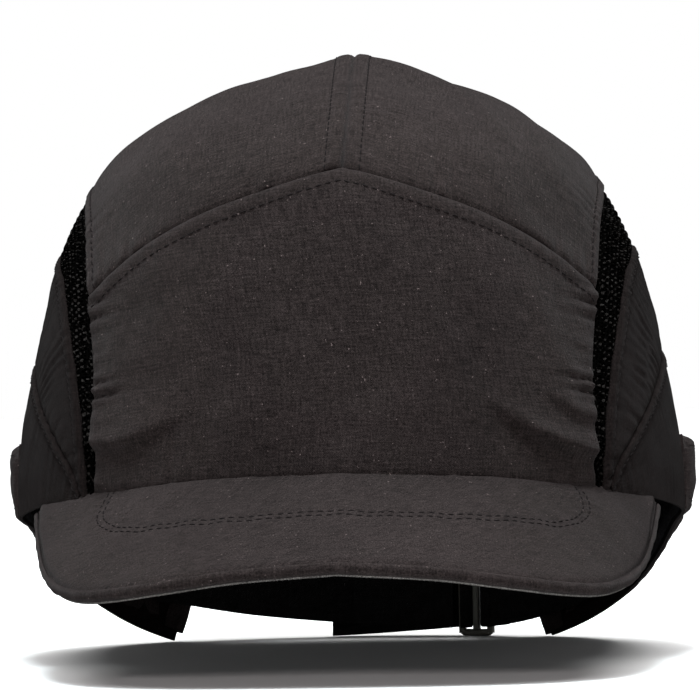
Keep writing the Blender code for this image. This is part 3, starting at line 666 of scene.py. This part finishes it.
def front_panel():
    low_pairs = [p for p in PEAK_SEAM if p[0] < FRONT_SIDE[0][0]] + [FRONT_SIDE[0]]
    side = CROWN.line(FRONT_SIDE, counts(CROWN.line(FRONT_SIDE, 30)))
    across = counts(CROWN.line(low_pairs, 30))
    low, high = both_sides(CROWN.line(low_pairs, across)), both_sides(CROWN.line(FRONT_TOP, across))
    grid = cloth_grid(low, high, mirrored(side), side)
    edges = [Edge("tuck", pucker=0.3, wave=11), Edge("lap", WIDE_LAP, pucker=0.22, wave=8),
             Edge("tuck", pucker=1.15, wave=4.8, reach=7), Edge("tuck", pucker=1.15, wave=4.6, reach=7.5)]
    obj, outer, away = panel("front_panel_cloth", grid, edges, "cloth", 11)
    place_piece(obj, "cap", "cloth", "front_panel")
    topstitch("front_topstitch", outer, away[1], WIDE_LAP)


def centre_line(count):
    front, rear = CROWN.at(0, FRONT_TOP[0][1]), CROWN.at(180, CROWN_REAR[0][1] - REAR_TUCK)
    angle = [math.atan2(p[2] - RAY_HEIGHT, p[1]) for p in (front, rear)]
    at = np.linspace(angle[0], angle[1], count)
    return CROWN.project(np.stack([0 * at, 100 * np.cos(at), RAY_HEIGHT + 100 * np.sin(at)], axis=1))


def crown_panels():
    across, deep = counts(centre_line(60)), counts(CROWN.line(FRONT_TOP, 30))
    rear = [(azimuth, height - REAR_TUCK) for azimuth, height in CROWN_REAR]
    side_line = CROWN_SIDE[:-1] + [rear[-1]]
    grid = cloth_grid(centre_line(across), CROWN.line(side_line, across), CROWN.line(FRONT_TOP, deep),
                      CROWN.line(rear, deep))
    edges = [Edge("lap", WIDE_LAP, pucker=0.2, wave=7), Edge("lap", CROWN_LAP, pucker=0.35, wave=7),
             Edge("tuck", pucker=0.5, wave=9, reach=8), Edge("under")]
    for k, (side, flip) in enumerate(SIDES):
        obj, outer, away = panel(f"crown_cloth_{side}", grid * (flip, 1, 1), edges, "cloth", 21 + 10 * k)
        place_piece(obj, "cap", "cloth", f"crown_panel_{side}")
        topstitch(f"crown_centre_topstitch_{side}", outer, away[0], WIDE_LAP)
        topstitch(f"crown_side_topstitch_{side}", outer, away[1], CROWN_LAP)


def mesh_inserts():
    outer_pairs = FRONT_SIDE + CROWN_SIDE[1:]
    count = int(counts(CROWN.line(outer_pairs, 60)) * 1.6)
    hidden = [(azimuth, height - MESH_TUCK if azimuth > 70 else height) for azimuth, height in MESH_LOWER]
    top, low = CROWN.line(outer_pairs, count), CROWN.line(hidden, count)
    grid = cloth_grid(top, low, np.linspace(top[0], low[0], 64), np.linspace(top[-1], low[-1], 64))

    def ribs(p, away, along):
        across = away[0]
        rib = np.abs(np.sin(math.pi * across / 2.3))
        twist = 0.5 + 0.5 * np.sin(2 * math.pi * (along[0] / 1.6 + across / 4.6))
        return 0.95 * rib * (0.55 + 0.45 * twist)

    edges = [Edge("tuck"), Edge("tuck"), Edge("none"), Edge("none")]
    for k, (side, flip) in enumerate(SIDES):
        obj, *_ = panel(f"mesh_cloth_{side}", grid * (flip, 1, 1), edges, "mesh", 31 + 10 * k,
                        ribs, MESH_DEPTH)
        place_piece(obj, "cap", "mesh", f"mesh_insert_{side}")


def side_panels():
    count = counts(CROWN.line(SIDE_TOP, 60))
    top, bottom = CROWN.line(SIDE_TOP, count), CROWN.line(LOWER_SEAM, count)
    rear = CROWN.line([SIDE_TOP[-1], LOWER_SEAM[-1]], 36)
    grid = cloth_grid(top, bottom, np.linspace(top[0], bottom[0], 36), rear)

    def pleats(p, away, along):
        azimuth = np.degrees(np.arctan2(np.abs(p[..., 0]), -p[..., 1]))
        where = smooth_step(azimuth, 46, 58) * (1 - smooth_step(azimuth, 95, 120))
        crease = np.abs(np.sin(math.pi * along[0] / 4.2 + 1.3 * ripple(p, 26, 5, 8)))
        uneven = np.clip(0.7 + 0.5 * ripple(p, 20, 6, 8), 0.1, 1.4)
        return 0.5 * where * uneven * (crease ** 0.6 - 0.6)

    edges = [Edge("lap", 3.5, pucker=0.15), Edge("tuck", pucker=0.3, wave=5), Edge("none"), Edge("tuck")]
    for k, (side, flip) in enumerate(SIDES):
        obj, outer, away = panel(f"side_cloth_painted_shade_{side}", grid * (flip, 1, 1), edges, "side_cloth_painted_shade", 41 + 10 * k,
                                 pleats)
        place_piece(obj, "cap", "cloth", f"side_panel_{side}")
        topstitch(f"side_topstitch_{side}", outer, away[0], 3.0)


def base_height(azimuth):
    line = smooth_curve(BASE_EDGE, 200)
    return np.interp(np.abs(azimuth), line[:, 0], line[:, 1])


def lower_panels():
    count = counts(CROWN.line(LOWER_SEAM, 60))
    first = LOWER_SEAM[0][0]
    edge = [(first, float(base_height(first)))] + [p for p in BASE_EDGE if p[0] > first + 5]
    top, bottom = CROWN.line(LOWER_SEAM, count), CROWN.line(edge, count)
    straight = CROWN.line([LOWER_SEAM[-1], ARCH[0]], 18)
    rear = np.vstack([straight[:-1], CROWN.line(ARCH, 68)])
    grid = cloth_grid(top, bottom, np.linspace(top[0], bottom[0], len(rear)), rear)

    edges = [Edge("lap", 3.0, pucker=0.25, wave=5), Edge("none", pucker=0.2), Edge("none"), Edge("none")]
    for k, (side, flip) in enumerate(SIDES):
        obj, outer, away = panel(f"lower_cloth_{side}", grid * (flip, 1, 1), edges, "side_cloth_painted_shade", 51 + 10 * k)
        place_piece(obj, "cap", "cloth", f"lower_panel_{side}")
        topstitch(f"lower_topstitch_{side}", outer, away[0], 2.6)


# ---------------------------------------------------------------- peak

def sample(grid, u, v):
    """Points of a grid at shares u and v of its two ways."""
    i, j = np.asarray(u) * (grid.shape[0] - 1), np.asarray(v) * (grid.shape[1] - 1)
    i0 = np.clip(i.astype(int), 0, grid.shape[0] - 2)
    j0 = np.clip(j.astype(int), 0, grid.shape[1] - 2)
    a, b = (i - i0)[:, None], (j - j0)[:, None]
    return ((1 - a) * (1 - b) * grid[i0, j0] + a * (1 - b) * grid[i0 + 1, j0]
            + (1 - a) * b * grid[i0, j0 + 1] + a * b * grid[i0 + 1, j0 + 1])


# The peak's curved double topstitch, one half: share of the half width, share of the depth.
PEAK_STITCH = [(0, 0.5), (0.18, 0.5), (0.36, 0.48), (0.48, 0.48), (0.56, 0.45), (0.62, 0.36), (0.65, 0.2),
               (0.66, 0.04)]
PEAK_INSETS = (0.0, 0.04)          # how far each of its two rows lies inside that line
PEAK_RISE, PEAK_SET = 1.8, 1.6     # how far the peak's root lies above its seam and inside the front panel
PEAK_CORE = 2.9                    # from the top cover's middle down to the lining
PEAK_POINTS = (110, 60)            # points over the half width and over the depth


def peak_surface():
    count, deep = PEAK_POINTS
    root = CROWN.line([(azimuth, height + PEAK_RISE) for azimuth, height in PEAK_SEAM], count)
    inner = both_sides(root - PEAK_SET * CROWN.normals(root))
    outer = both_sides(smooth_curve(PEAK_EDGE, count))
    ends = [np.linspace(inner[k], outer[k], deep) for k in (0, -1)]
    surface = coons(inner, outer, *ends)
    normal = grid_normals(surface)
    return surface, normal * np.sign(normal[count, deep // 2, 2])


def peak_rows():
    """The two rows of the peak's topstitch as shares of its width and depth."""
    half = smooth_curve(PEAK_STITCH, 200)
    for inset in PEAK_INSETS:
        x = np.concatenate([-half[::-1, 0], half[1:, 0]]) * (1 - inset * 0.6)
        y = np.concatenate([half[::-1, 1], half[1:, 1]]) - inset
        yield (x + 1) / 2, np.clip(y, 0, 1)


def peak():
    surface, normal = peak_surface()
    along_v = run_length(surface, 1)
    rim = along_v[:, -1:] - along_v
    swell = 0.5 * np.sin(math.pi * np.clip(along_v / np.maximum(along_v[:, -1:], 1e-6), 0, 1))
    height = swell + 0.22 * ripple(surface, 32, 61) + 0.07 * ripple(surface, 11, 63)
    height = height * smooth_step(along_v, 0, 6) - 1.1 * bell(rim, 1.4)
    puff = 0.9 + 0.12 * ripple(surface, 26, 62)
    rows = list(peak_rows())
    for u, v in rows:
        away, where = distance_to_line(surface, sample(surface, u, v)[::4])
        dimple = 0.7 + 0.3 * np.cos(2 * math.pi * where * 300 / STITCH)
        height += 0.10 * np.sin(where * 150) * bell(away, 3.5) - 0.28 * bell(away, 0.8) * dimple
        puff -= 0.25 * bell(away, 0.8)
    top = surface + height[..., None] * normal
    under = surface - (PEAK_CORE + 0.25 * np.exp(-rim / 2.0))[..., None] * normal
    for name, outer, inner, finish in (
            ("top", top, surface - CLOTH * normal, "cloth"),
            ("bottom", under, under - puff[..., None] * normal, "lining")):
        cover = slab(f"peak_cloth_{name}", outer, inner, FINISH[finish], cloth_uv(surface))
        place_piece(cover, "cap", "cloth", f"peak_cover_{name}")
    for k, (u, v) in enumerate(rows):
        line, up = smooth_curve(sample(top, u, v), 400), smooth_curve(sample(normal, u, v), 400)
        stitches(f"peak_topstitch_{k + 1}", line, unit(up))
    peak_edge(surface[:, -1], normal[:, -1])


def peak_edge(rim, up):
    """The cloth turned round the peak's edge and the thin pale piping under it."""
    rim, up = smooth_curve(rim, 400), unit(smooth_curve(up, 400))
    away = unit(np.cross(np.gradient(rim, axis=0), up))
    away *= -np.sign(away[200, 1])
    along = run_length(rim, 0)
    turn = np.radians(np.linspace(100, -112, 14))
    thick = 1 + 0.06 * np.sin(along / 3.1) + 0.05 * np.sin(along / 1.27 + 1)
    outside = [(0.25 + 1.5 * math.cos(t), -1.75 + 1.75 * math.sin(t)) for t in turn]
    inside = [(0.1 + 0.6 * math.cos(t), -1.75 + 1.05 * math.sin(t)) for t in turn[::-1]]
    sections = np.stack([rim + (a * thick)[:, None] * away + b * up for a, b in outside + inside], axis=1)
    uv = strip_uv(along, np.linspace(0, 9, len(outside) * 2))
    place_piece(sweep("peak_edge_cloth", sections[3:-3], FINISH["cloth"], uv[3:-3]), "cap", "cloth",
                "peak_edge_binding")
    ring = np.radians(np.arange(8) * 45)
    centre = rim - 3.55 * up + 0.75 * away
    cord = np.stack([centre + 0.36 * (math.cos(t) * away + math.sin(t) * up) for t in ring], axis=1)
    uv = strip_uv(along, np.arange(8) * 0.35)
    place_piece(sweep("peak_piping", cord[6:-6], FINISH["piping"], uv[6:-6]), "cap", "cloth")


# ---------------------------------------------------------------- hem, bindings and sweatband

def rounded(away, radius):
    """How full a soft edge is at a distance from its rim: 0 at the rim, 1 from radius on."""
    t = np.clip(away / radius, 0, 1)
    return np.sqrt(np.maximum(1 - (1 - t) ** 2, 0))


def crown_strip(azimuth, foot, tall, count):
    """A strip of crown surface, count points tall, that stands on a foot's heights over the azimuths."""
    return CROWN.at(azimuth[:, None] + np.zeros(count), foot[:, None] + np.linspace(0, 1, count) * tall)


HEM_SPAN = (83.5, 145.5)   # azimuths of the hem bands' ends
HEM_TALL, HEM_STITCH = 21.5, 3.2
BAND_SPANS = {"front": (-60, 60), "left": (61, 128), "right": (-61, -128)}
BAND_TALL, BAND_STITCH = 26.6, 4.0


def hem_bands():
    azimuth = np.linspace(*HEM_SPAN, 130)
    grid = crown_strip(azimuth, base_height(azimuth) + 0.2, HEM_TALL, 34)
    along, up = run_length(grid, 0), run_length(grid, 1)
    end, below = along[-1:] - along, up[:, -1:] - up
    corner = np.hypot(np.maximum(8 - along, 0), np.maximum(8 - below, 0))
    soft = rounded(np.minimum(up, below), 3.0) * rounded(along, 5.5) * rounded(end, 2.0)
    soft = soft * rounded(8.5 - corner, 3.0)
    bulge = 1.3 + 1.5 * smooth_step(up / up[:, -1:], 0.0, 0.5) * (0.3 + 0.7 * smooth_step(end, 0, 60))
    bulge = bulge - 0.3 * bell(below - HEM_STITCH, 0.8) - 0.3 * bell(up - HEM_STITCH, 0.8)
    for k, (side, flip) in enumerate(SIDES):
        p = grid * (flip, 1, 1)
        stand = bulge + 0.4 * ripple(p, 22, 71 + k) + 0.16 * ripple(p, 8, 75 + k)
        normal = CROWN.normals(p)
        outer = p + (0.5 + stand * soft)[..., None] * normal
        obj = slab(f"hem_cloth_{side}", outer, p - 0.7 * normal, FINISH["cloth"], cloth_uv(grid))
        place_piece(obj, "cap", "cloth", f"hem_band_{side}")
        topstitch(f"hem_top_topstitch_{side}", outer, below, HEM_STITCH, 2)
        topstitch(f"hem_bottom_topstitch_{side}", outer, up, HEM_STITCH, 2)


def sweatbands():
    for k, (name, (start, stop)) in enumerate(BAND_SPANS.items()):
        azimuth = np.linspace(start, stop, int(abs(stop - start) * 1.6))
        grid = crown_strip(azimuth, base_height(azimuth) + 0.6, BAND_TALL, 30)
        up = run_length(grid, 1)
        inside = from_edges(run_length(grid, 0), up)
        puff = 2.1 * rounded(inside, 1.8) + 0.35 * ripple(grid, 16, 81 + k) * smooth_step(inside, 0, 6)
        puff = puff - 0.5 * bell(up - BAND_STITCH, 0.7)
        normal = CROWN.normals(grid)
        outer, inner = grid - BAND_DEPTH * normal, grid - (BAND_DEPTH + puff)[..., None] * normal
        obj = slab(f"sweatband_{name}_pad", outer, inner, FINISH["towelling"], cloth_uv(grid))
        place_piece(obj, "cap", "towelling", f"sweatband_{name}")
        topstitch(f"sweatband_{name}_stitch", inner, up, BAND_STITCH, 1, -1)


def seam_tape():
    middle = centre_line(150)[6:-6]
    across = np.linspace(-7, 7, 12)
    grid = CROWN.project(middle[:, None] + across[None, :, None] * np.array([1.0, 0, 0]))
    normal = CROWN.normals(grid)
    bulge = 0.25 * bell(across, 1.5)[None, :, None]
    outer, inner = grid - 2.2 * normal, grid - (2.9 + bulge) * normal
    obj = slab("seam_tape_cloth", outer, inner, FINISH["lining"], cloth_uv(grid))
    place_piece(obj, "cap", "cloth", "crown_seam_tape")


# The binding's folded section: how far towards the opening, how far outwards.
BINDING = [(-6, 0.75), (-5.4, 1.0), (-1, 1.0), (1.2, 0.8), (2.1, 0.1), (2.2, -0.8), (1.6, -1.6), (-1, -1.9),
           (-5.4, -1.9), (-6, -1.6), (-5.4, -1.3), (-1, -1.3), (0.3, -0.9), (0.6, -0.3), (-1, 0.45),
           (-5.4, 0.45)]


def arch_binding():
    half = CROWN.line(ARCH, 90)[:-1]
    arch = smooth_curve(np.vstack([half[::-1], mirrored(half)[1:]])[::3], 220)
    out = CROWN.normals(arch)
    into = unit(np.cross(np.gradient(arch, axis=0), out))
    into *= -np.sign(into[110, 2])
    along = run_length(arch, 0)
    wave = 1 + 0.05 * np.sin(along / 2.3) + 0.05 * np.sin(along / 5.1)
    sections = np.stack([arch + (a * wave)[:, None] * into + b * out for a, b in BINDING], axis=1)
    uv = strip_uv(along, np.arange(len(BINDING)) * 1.5)
    obj = sweep("arch_binding_cloth", sections, FINISH["cloth"], uv)
    place_piece(obj, "cap", "cloth", "rear_arch_binding")
    row = arch - 4.6 * into + 1.0 * out
    stitches("arch_topstitch", smooth_curve(row, 220), out)


def care_label():
    grid = crown_strip(np.linspace(-139.5, -130, 24), np.full(24, 30.0), 26, 40)
    normal = CROWN.normals(grid)
    curl = 0.8 * np.linspace(1, 0, 40)[None] ** 2 * (1 + 0.5 * np.sin(np.linspace(0, 5, 24)))[:, None]
    inner = grid - (1.8 + curl)[..., None] * normal
    obj = slab("blank_care_label", inner, inner - 0.35 * normal, FINISH["label"], cloth_uv(grid))
    place_piece(obj, "cap", "label", "care_label")


# ---------------------------------------------------------------- shell and pads

SHELL_RIM = (85, 64)       # height of the shell's rim at the front and the rear
SHELL_WALL = 2.0
VENT_ROWS = [(2, 2, 3), (5, 1, 3), (7, 2, 6)]     # first ring of the vents, rings spanned, every nth place
PAD_AREAS = {"front_pad": (-36, 36, 89, 112), "rear_pad": (148, 212, 72, 100),
             "side_pad_left": (62, 118, 82, 108), "side_pad_right": (-118, -62, 82, 108)}
CROWN_PAD_HALF = (34, 44)
CROWN_PAD_FLOOR = 156


def shell_grid(around, rings):
    """Points of the shell from its rim to just below its crest."""
    azimuth = np.arange(around) * 360 / around
    middle = sum(SHELL_RIM) / 2
    side = SHELL.at(np.arange(48) * 7.5, np.full(48, middle))
    slope = (SHELL_RIM[1] - SHELL_RIM[0]) / (side[:, 1].max() - side[:, 1].min())
    level = SHELL.at(azimuth, np.full(around, middle))
    rim = SHELL.at(azimuth, middle + slope * level[:, 1])
    eye, crest = np.array([0, 0, RAY_HEIGHT], float), np.array([0, 4, SHELL.top], float)
    low, high = unit(rim - eye), unit(crest - eye)
    turn = np.arccos(low @ high)[:, None, None]
    share = np.linspace(0, 1, rings + 1)[:-1][None, :, None]
    ray = (low[:, None] * np.sin((1 - share) * turn) + high * np.sin(share * turn)) / np.sin(turn)
    return SHELL.project(eye + 90 * ray), crest


def impact_shell():
    fine, around, rings = 5, 48, 11
    grid, crest = shell_grid(around * fine, rings * fine)
    kept = np.ones((around * fine, rings * fine - 1), bool)
    for first, span, step in VENT_ROWS:
        for i in range(around):
            if i % step == 1:
                kept[i * fine:(i + 1) * fine, first * fine:(first + span) * fine] = False
    angle = np.arange(around * fine) * 2 * math.pi / (around * fine)
    ring = np.linspace(0, rings, rings * fine)
    rib = 0.5 * bell(np.cos(angle * 8)[:, None] - 1, 0.05) * smooth_step(ring, 0.3, 0.8)
    lip = 0.8 * bell(ring, 0.35)
    normal = SHELL.normals(grid)
    outer = grid + (0.3 * rib)[..., None] * normal
    inner = grid - (SHELL_WALL + rib + lip)[..., None] * normal
    nu, nv = grid.shape[:2]
    faces = slab_faces(nu, nv, kept, around=True)
    tip = 2 * nu * nv
    last = [(i * nv + nv - 1, (i + 1) % nu * nv + nv - 1) for i in range(nu)]
    edge = {frozenset((a, b, a + nu * nv, b + nu * nv)) for a, b in last}
    faces = [f for f in faces if frozenset(f) not in edge]
    faces += [(b, a, tip) for a, b in last] + [(a + nu * nv, b + nu * nv, tip + 1) for a, b in last]
    points = np.vstack([outer.reshape(-1, 3), inner.reshape(-1, 3), crest, crest - (0, 0, SHELL_WALL)])
    obj = new_object("vented_shell", points, faces, FINISH["shell"], sharp=SHARP, leans=False)
    place_piece(obj, "insert", "shell", "impact_shell")


def foam_pads():
    for k, (name, (start, stop, bottom, top)) in enumerate(PAD_AREAS.items()):
        ways = np.linspace(start, stop, 90), np.linspace(bottom, top, 40)
        area = SHELL.at(*np.meshgrid(*ways, indexing="ij"))
        normal = SHELL.normals(area)
        along = run_length(area, 0)
        inside = from_edges(along, run_length(area, 1))
        puff = 4.9 * rounded(inside, 4.5) + 0.25 * ripple(area, 18, 91 + k) * smooth_step(inside, 0, 8)
        channel = np.abs(((along / along[-1:]) * 4 + 0.5) % 1 - 0.5) * along[-1:] / 4
        puff = puff - 1.6 * bell(channel, 1.3) * smooth_step(inside, 2, 6)
        back = area - (SHELL_WALL + 0.6) * normal
        obj = slab(name + "_foam", back, back - puff[..., None] * normal, FINISH["foam"], leans=False)
        place_piece(obj, "insert", "foam", name)


def straight_down(points):
    """Points dropped onto the shell's upper side."""
    low, high = np.full(points.shape[:-1], 100.0), np.full(points.shape[:-1], SHELL.top)
    for _ in range(40):
        middle = (low + high) / 2
        outside = SHELL.excess(np.concatenate([points[..., :2], middle[..., None]], axis=-1)) > 0
        high, low = np.where(outside, middle, high), np.where(outside, low, middle)
    return np.concatenate([points[..., :2], low[..., None]], axis=-1)


def crown_pad():
    turn = np.radians(np.arange(96) * 3.75)
    shape = np.stack([CROWN_PAD_HALF[0] * np.sin(turn), CROWN_PAD_HALF[1] * np.cos(turn), 0 * turn], axis=1)
    share = np.linspace(0.03, 1, 26)
    flat = share[:, None, None] * shape[None]
    roof = straight_down(flat)
    roof = roof - (SHELL_WALL + 0.7) * SHELL.normals(roof)
    depth = rounded((1 - share) * 38, 4.0)[:, None]
    groove = 1.1 * bell((share - 0.55) * 38, 1.2)[:, None]
    floor = roof.copy()
    floor[..., 2] = roof[..., 2] - (roof[..., 2] - CROWN_PAD_FLOOR) * depth + groove * depth
    rings = np.concatenate([roof, floor[::-1]], axis=0)
    obj = sweep("crown_pad_foam", rings, FINISH["foam"], leans=False)
    place_piece(obj, "insert", "foam", "crown_pad")


# ---------------------------------------------------------------- rear strap

STRAP_AXIS_Y = 20.5        # the strap lies on cylinders about this upright axis
STRAP_TALL = 20
BAR_FROM_AXIS = 92.3       # the ring's upright bars
BAR_LEFT, BAR_RIGHT = 19.5, 25.0
FOLD_INNER, WEBBING = 2.0, 1.0
STRAP_LOWER = [(-43, 16.5), (-36, 14.8), (-22, 11), (-6, 8.2), (8, 6.8), (21, 6.2), (30, 7.5), (40, 11),
               (54, 18)]


def strap_point(angle, radius, height):
    a = np.radians(angle)
    x, y = radius * np.sin(a), STRAP_AXIS_Y + radius * np.cos(a)
    return np.stack(np.broadcast_arrays(x, y, height), axis=-1)


def strap_foot(angle):
    line = smooth_curve(STRAP_LOWER, 200)
    return np.interp(angle, line[:, 0], line[:, 1])


def strap_strip(name, middle, out, foot, thick, finish, body, slot, node, trim=0.0):
    """Webbing along a line of points: out is the way its thickness runs, foot its lower edge's height."""
    tall = STRAP_TALL - 2 * trim
    rise = np.linspace(0, tall, 26)
    soft = rounded(np.minimum(rise, tall - rise), 0.9) * 0.7 + 0.3
    faces = []
    for side in (1, -1):
        base = middle[:, None] + (side * thick / 2 * soft)[None, :, None] * out[:, None]
        base[..., 2] = foot[:, None] + trim + rise
        faces.append(base)
    uv = strip_uv(run_length(middle, 0), rise)
    place_piece(slab(name, *faces, FINISH[finish], uv, leans=False), body, slot, node)


def arc_run(start, stop, radius, drop=0.0):
    angle = np.linspace(start, stop, max(8, int(abs(stop - start) * 1.2)))
    middle = strap_point(angle, radius, 0)
    out = strap_point(angle, 1, 0) - (0, STRAP_AXIS_Y, 0)
    return middle, out, strap_foot(angle) - drop * np.linspace(0, 1, len(angle))


def fold_run(bar, first, last):
    """The webbing's half turn round a bar: angles in the plane of the strap and outwards."""
    a = math.radians(bar)
    forward, outward = np.array([math.cos(a), -math.sin(a), 0]), np.array([math.sin(a), math.cos(a), 0])
    turn = np.radians(np.linspace(first, last, 18))
    unit = np.cos(turn)[:, None] * forward + np.sin(turn)[:, None] * outward
    centre = strap_point(bar, BAR_FROM_AXIS, 0)
    return centre + (FOLD_INNER + WEBBING / 2) * unit, unit, np.full(18, float(strap_foot(bar)))


def joined(*runs):
    return [np.concatenate(parts) for parts in zip(*runs)]


def rear_strap():
    inside = BAR_FROM_AXIS - FOLD_INNER - WEBBING / 2
    outside = BAR_FROM_AXIS + FOLD_INNER + WEBBING / 2
    near = BAR_LEFT - math.degrees(2.8 / BAR_FROM_AXIS)
    tail = joined(fold_run(BAR_LEFT, -90, 84), arc_run(BAR_LEFT - 1.2, -6, outside, 4.5))
    tab = joined(arc_run(28.2, 26.4, outside), fold_run(BAR_RIGHT, 84, 276), arc_run(26.4, 52, inside))
    woven_runs = (("strap_webbing", arc_run(-43, 5, 91.4), 1.2, "cap", "rear_strap"),
                  ("strap_inner_webbing", arc_run(near, -2, inside), WEBBING, "strap_slider",
                   "strap_inner_run"),
                  ("tail_webbing", tail, WEBBING, "strap_tail", "strap_tail"),
                  ("tab_webbing", tab, WEBBING, "strap_slider", "strap_tab"))
    for name, run, thick, body, node in woven_runs:
        strap_strip(name, *run, thick, "webbing", body, "webbing", node)
    pile_runs = (("loop_pile", arc_run(-30, 4.5, 92.6), "cap", "strap_loop_patch"),
                 ("hook_pile", arc_run(4, -5.5, 93.6, 4.0), "strap_tail", "strap_hook_patch"))
    for name, run, body, node in pile_runs:
        strap_strip(name, *run, 0.6, "loops", body, "hook_and_loop", node, 1.5)
    strap_ring()


def strap_ring():
    """A rounded rectangular ring with a centre bar, bent to the strap's curve."""
    low, high = float(strap_foot(BAR_LEFT)) - 1.5, float(strap_foot(BAR_LEFT)) + STRAP_TALL + 1.5
    left, right = BAR_LEFT - 0.17, BAR_RIGHT + 0.17
    corner, bend = 1.3, math.degrees(1.3 / BAR_FROM_AXIS)
    outline = []
    for angle, height, start in ((right, high, 0), (left, high, 90), (left, low, 180), (right, low, 270)):
        ca = angle - bend if angle == right else angle + bend
        ch = height - corner if height == high else height + corner
        for t in np.radians(np.linspace(start, start + 90, 7)):
            outline.append((ca + bend * math.cos(t), ch + corner * math.sin(t)))
    outline = np.array(outline + outline[:1])
    path = smooth_curve(strap_point(outline[:, 0], BAR_FROM_AXIS, outline[:, 1]), 161)[:-1]
    out = unit(path * (1, 1, 0) - (0, STRAP_AXIS_Y, 0))
    side = unit(np.cross(np.roll(path, -1, axis=0) - np.roll(path, 1, axis=0), out))
    turn = np.radians(np.arange(14) * 360 / 14)
    section = [[np.sign(x) * abs(x) ** 0.7 for x in (math.cos(t), math.sin(t))] for t in turn]
    rings = np.stack([path + 1.1 * a * side + 1.15 * b * out for a, b in section], axis=1)
    obj = sweep("ring_moulding", rings, FINISH["ring"], closed=True, leans=False)
    place_piece(obj, "strap_slider", "ring", "strap_ring")
    middle = (BAR_LEFT + BAR_RIGHT) / 2
    reach = 1.15 * rounded(1.17 - np.abs(np.linspace(-1.1, 1.1, 9)), 0.7)
    across = middle + np.degrees(np.linspace(-1.1, 1.1, 9) / BAR_FROM_AXIS)
    rise = np.linspace(low + 1.0, high - 1.0, 24)
    faces = [strap_point(across[:, None], BAR_FROM_AXIS + side * (0.05 + reach)[:, None], rise[None])
             for side in (1, -1)]
    obj = slab("ring_centre_bar", *faces, FINISH["ring"], leans=False)
    place_piece(obj, "strap_slider", "ring")


# ---------------------------------------------------------------- light, floor and camera

FLOOR_SIZE = 12
WORLD_FADE = (0.1, 0.3, 1.0, 0.2)   # the world dims from 1.0 to 0.2 between these two rises above the horizon
SUN_SPREAD = 1.2           # angle that the sun covers, wide for soft shadows


def light(name, kind, place, target, size, power, colour=(1, 1, 1)):
    data = bpy.data.lights.new(name, kind)
    data.energy = power
    data.color = colour
    if kind == "AREA":
        data.shape = "RECTANGLE"
        data.size, data.size_y = size
    else:
        data.angle = SUN_SPREAD
    obj = bpy.data.objects.new(name, data)
    obj.location = place
    obj.rotation_euler = (Vector(target) - Vector(place)).to_track_quat("-Z", "Y").to_euler()
    bpy.context.scene.collection.objects.link(obj)


def studio():
    scene = bpy.context.scene
    scene.view_settings.view_transform = "Standard"
    world = bpy.data.worlds.new("studio")
    world.use_nodes = True
    tree = world.node_tree
    place = tree.nodes.new("ShaderNodeTexCoord")
    split = tree.nodes.new("ShaderNodeSeparateXYZ")
    fade = tree.nodes.new("ShaderNodeMapRange")
    for socket, value in zip(list(fade.inputs)[1:5], WORLD_FADE):
        socket.default_value = value
    tree.links.new(place.outputs["Generated"], split.inputs[0])
    tree.links.new(split.outputs["Z"], fade.inputs[0])
    tree.nodes["Background"].inputs[0].default_value = (1, 1, 1, 1)
    tree.links.new(fade.outputs[0], tree.nodes["Background"].inputs[1])
    scene.world = world
    bpy.ops.mesh.primitive_plane_add(size=FLOOR_SIZE, location=(0, 0, 0))
    floor = bpy.context.object
    floor.name = "floor"
    n = Nodes("pale_floor", (0.52, 0.52, 0.52), 0.9)
    n.set("Specular IOR Level", 0.1)
    n.feed("Roughness", n.ramp(n.noise(n.place(), 3, 3), 0.86, 0.9))
    floor.data.materials.append(n.material)
    light("sky", "SUN", (0, 0, 3), (0, 0, 0), (0, 0), 6.3)
    light("key", "AREA", (-0.03, -0.42, 1.4), (0, 0, 0.1), (0.4, 0.4), 48, (0.88, 1.0, 1.03))
    light("front", "AREA", (0.0, -1.9, 0.7), (0, 0, 0.1), (0.3, 0.3), 20, (1.0, 0.93, 0.93))
    light("back", "AREA", (0.3, 0.7, 1.2), (0, 0, 0.15), (1.0, 0.5), 8)


def camera():
    data = bpy.data.cameras.new("camera")
    data.sensor_width = 36
    data.lens = 36 * CAMERA_AWAY / VIEW_WIDTH
    data.clip_end = 30
    obj = bpy.data.objects.new("camera", data)
    centre = Vector(VIEW_CENTRE)
    obj.location = centre + CAMERA_AWAY * Vector((math.sin(CAMERA_YAW), -math.cos(CAMERA_YAW), 0))
    look = (centre - obj.location).to_track_quat("-Z", "Y").to_matrix()
    obj.rotation_euler = (look @ Matrix.Rotation(CAMERA_ROLL, 3, "Z")).to_euler()
    bpy.context.scene.collection.objects.link(obj)
    bpy.context.scene.camera = obj


def main():
    camera()
    studio()
    front_panel()
    crown_panels()
    mesh_inserts()
    side_panels()
    lower_panels()
    peak()
    hem_bands()
    sweatbands()
    seam_tape()
    arch_binding()
    care_label()
    impact_shell()
    foam_pads()
    crown_pad()
    rear_strap()
    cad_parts["peak_board"].data.materials.clear()
    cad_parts["peak_board"].data.materials.append(FINISH["board"])


main()
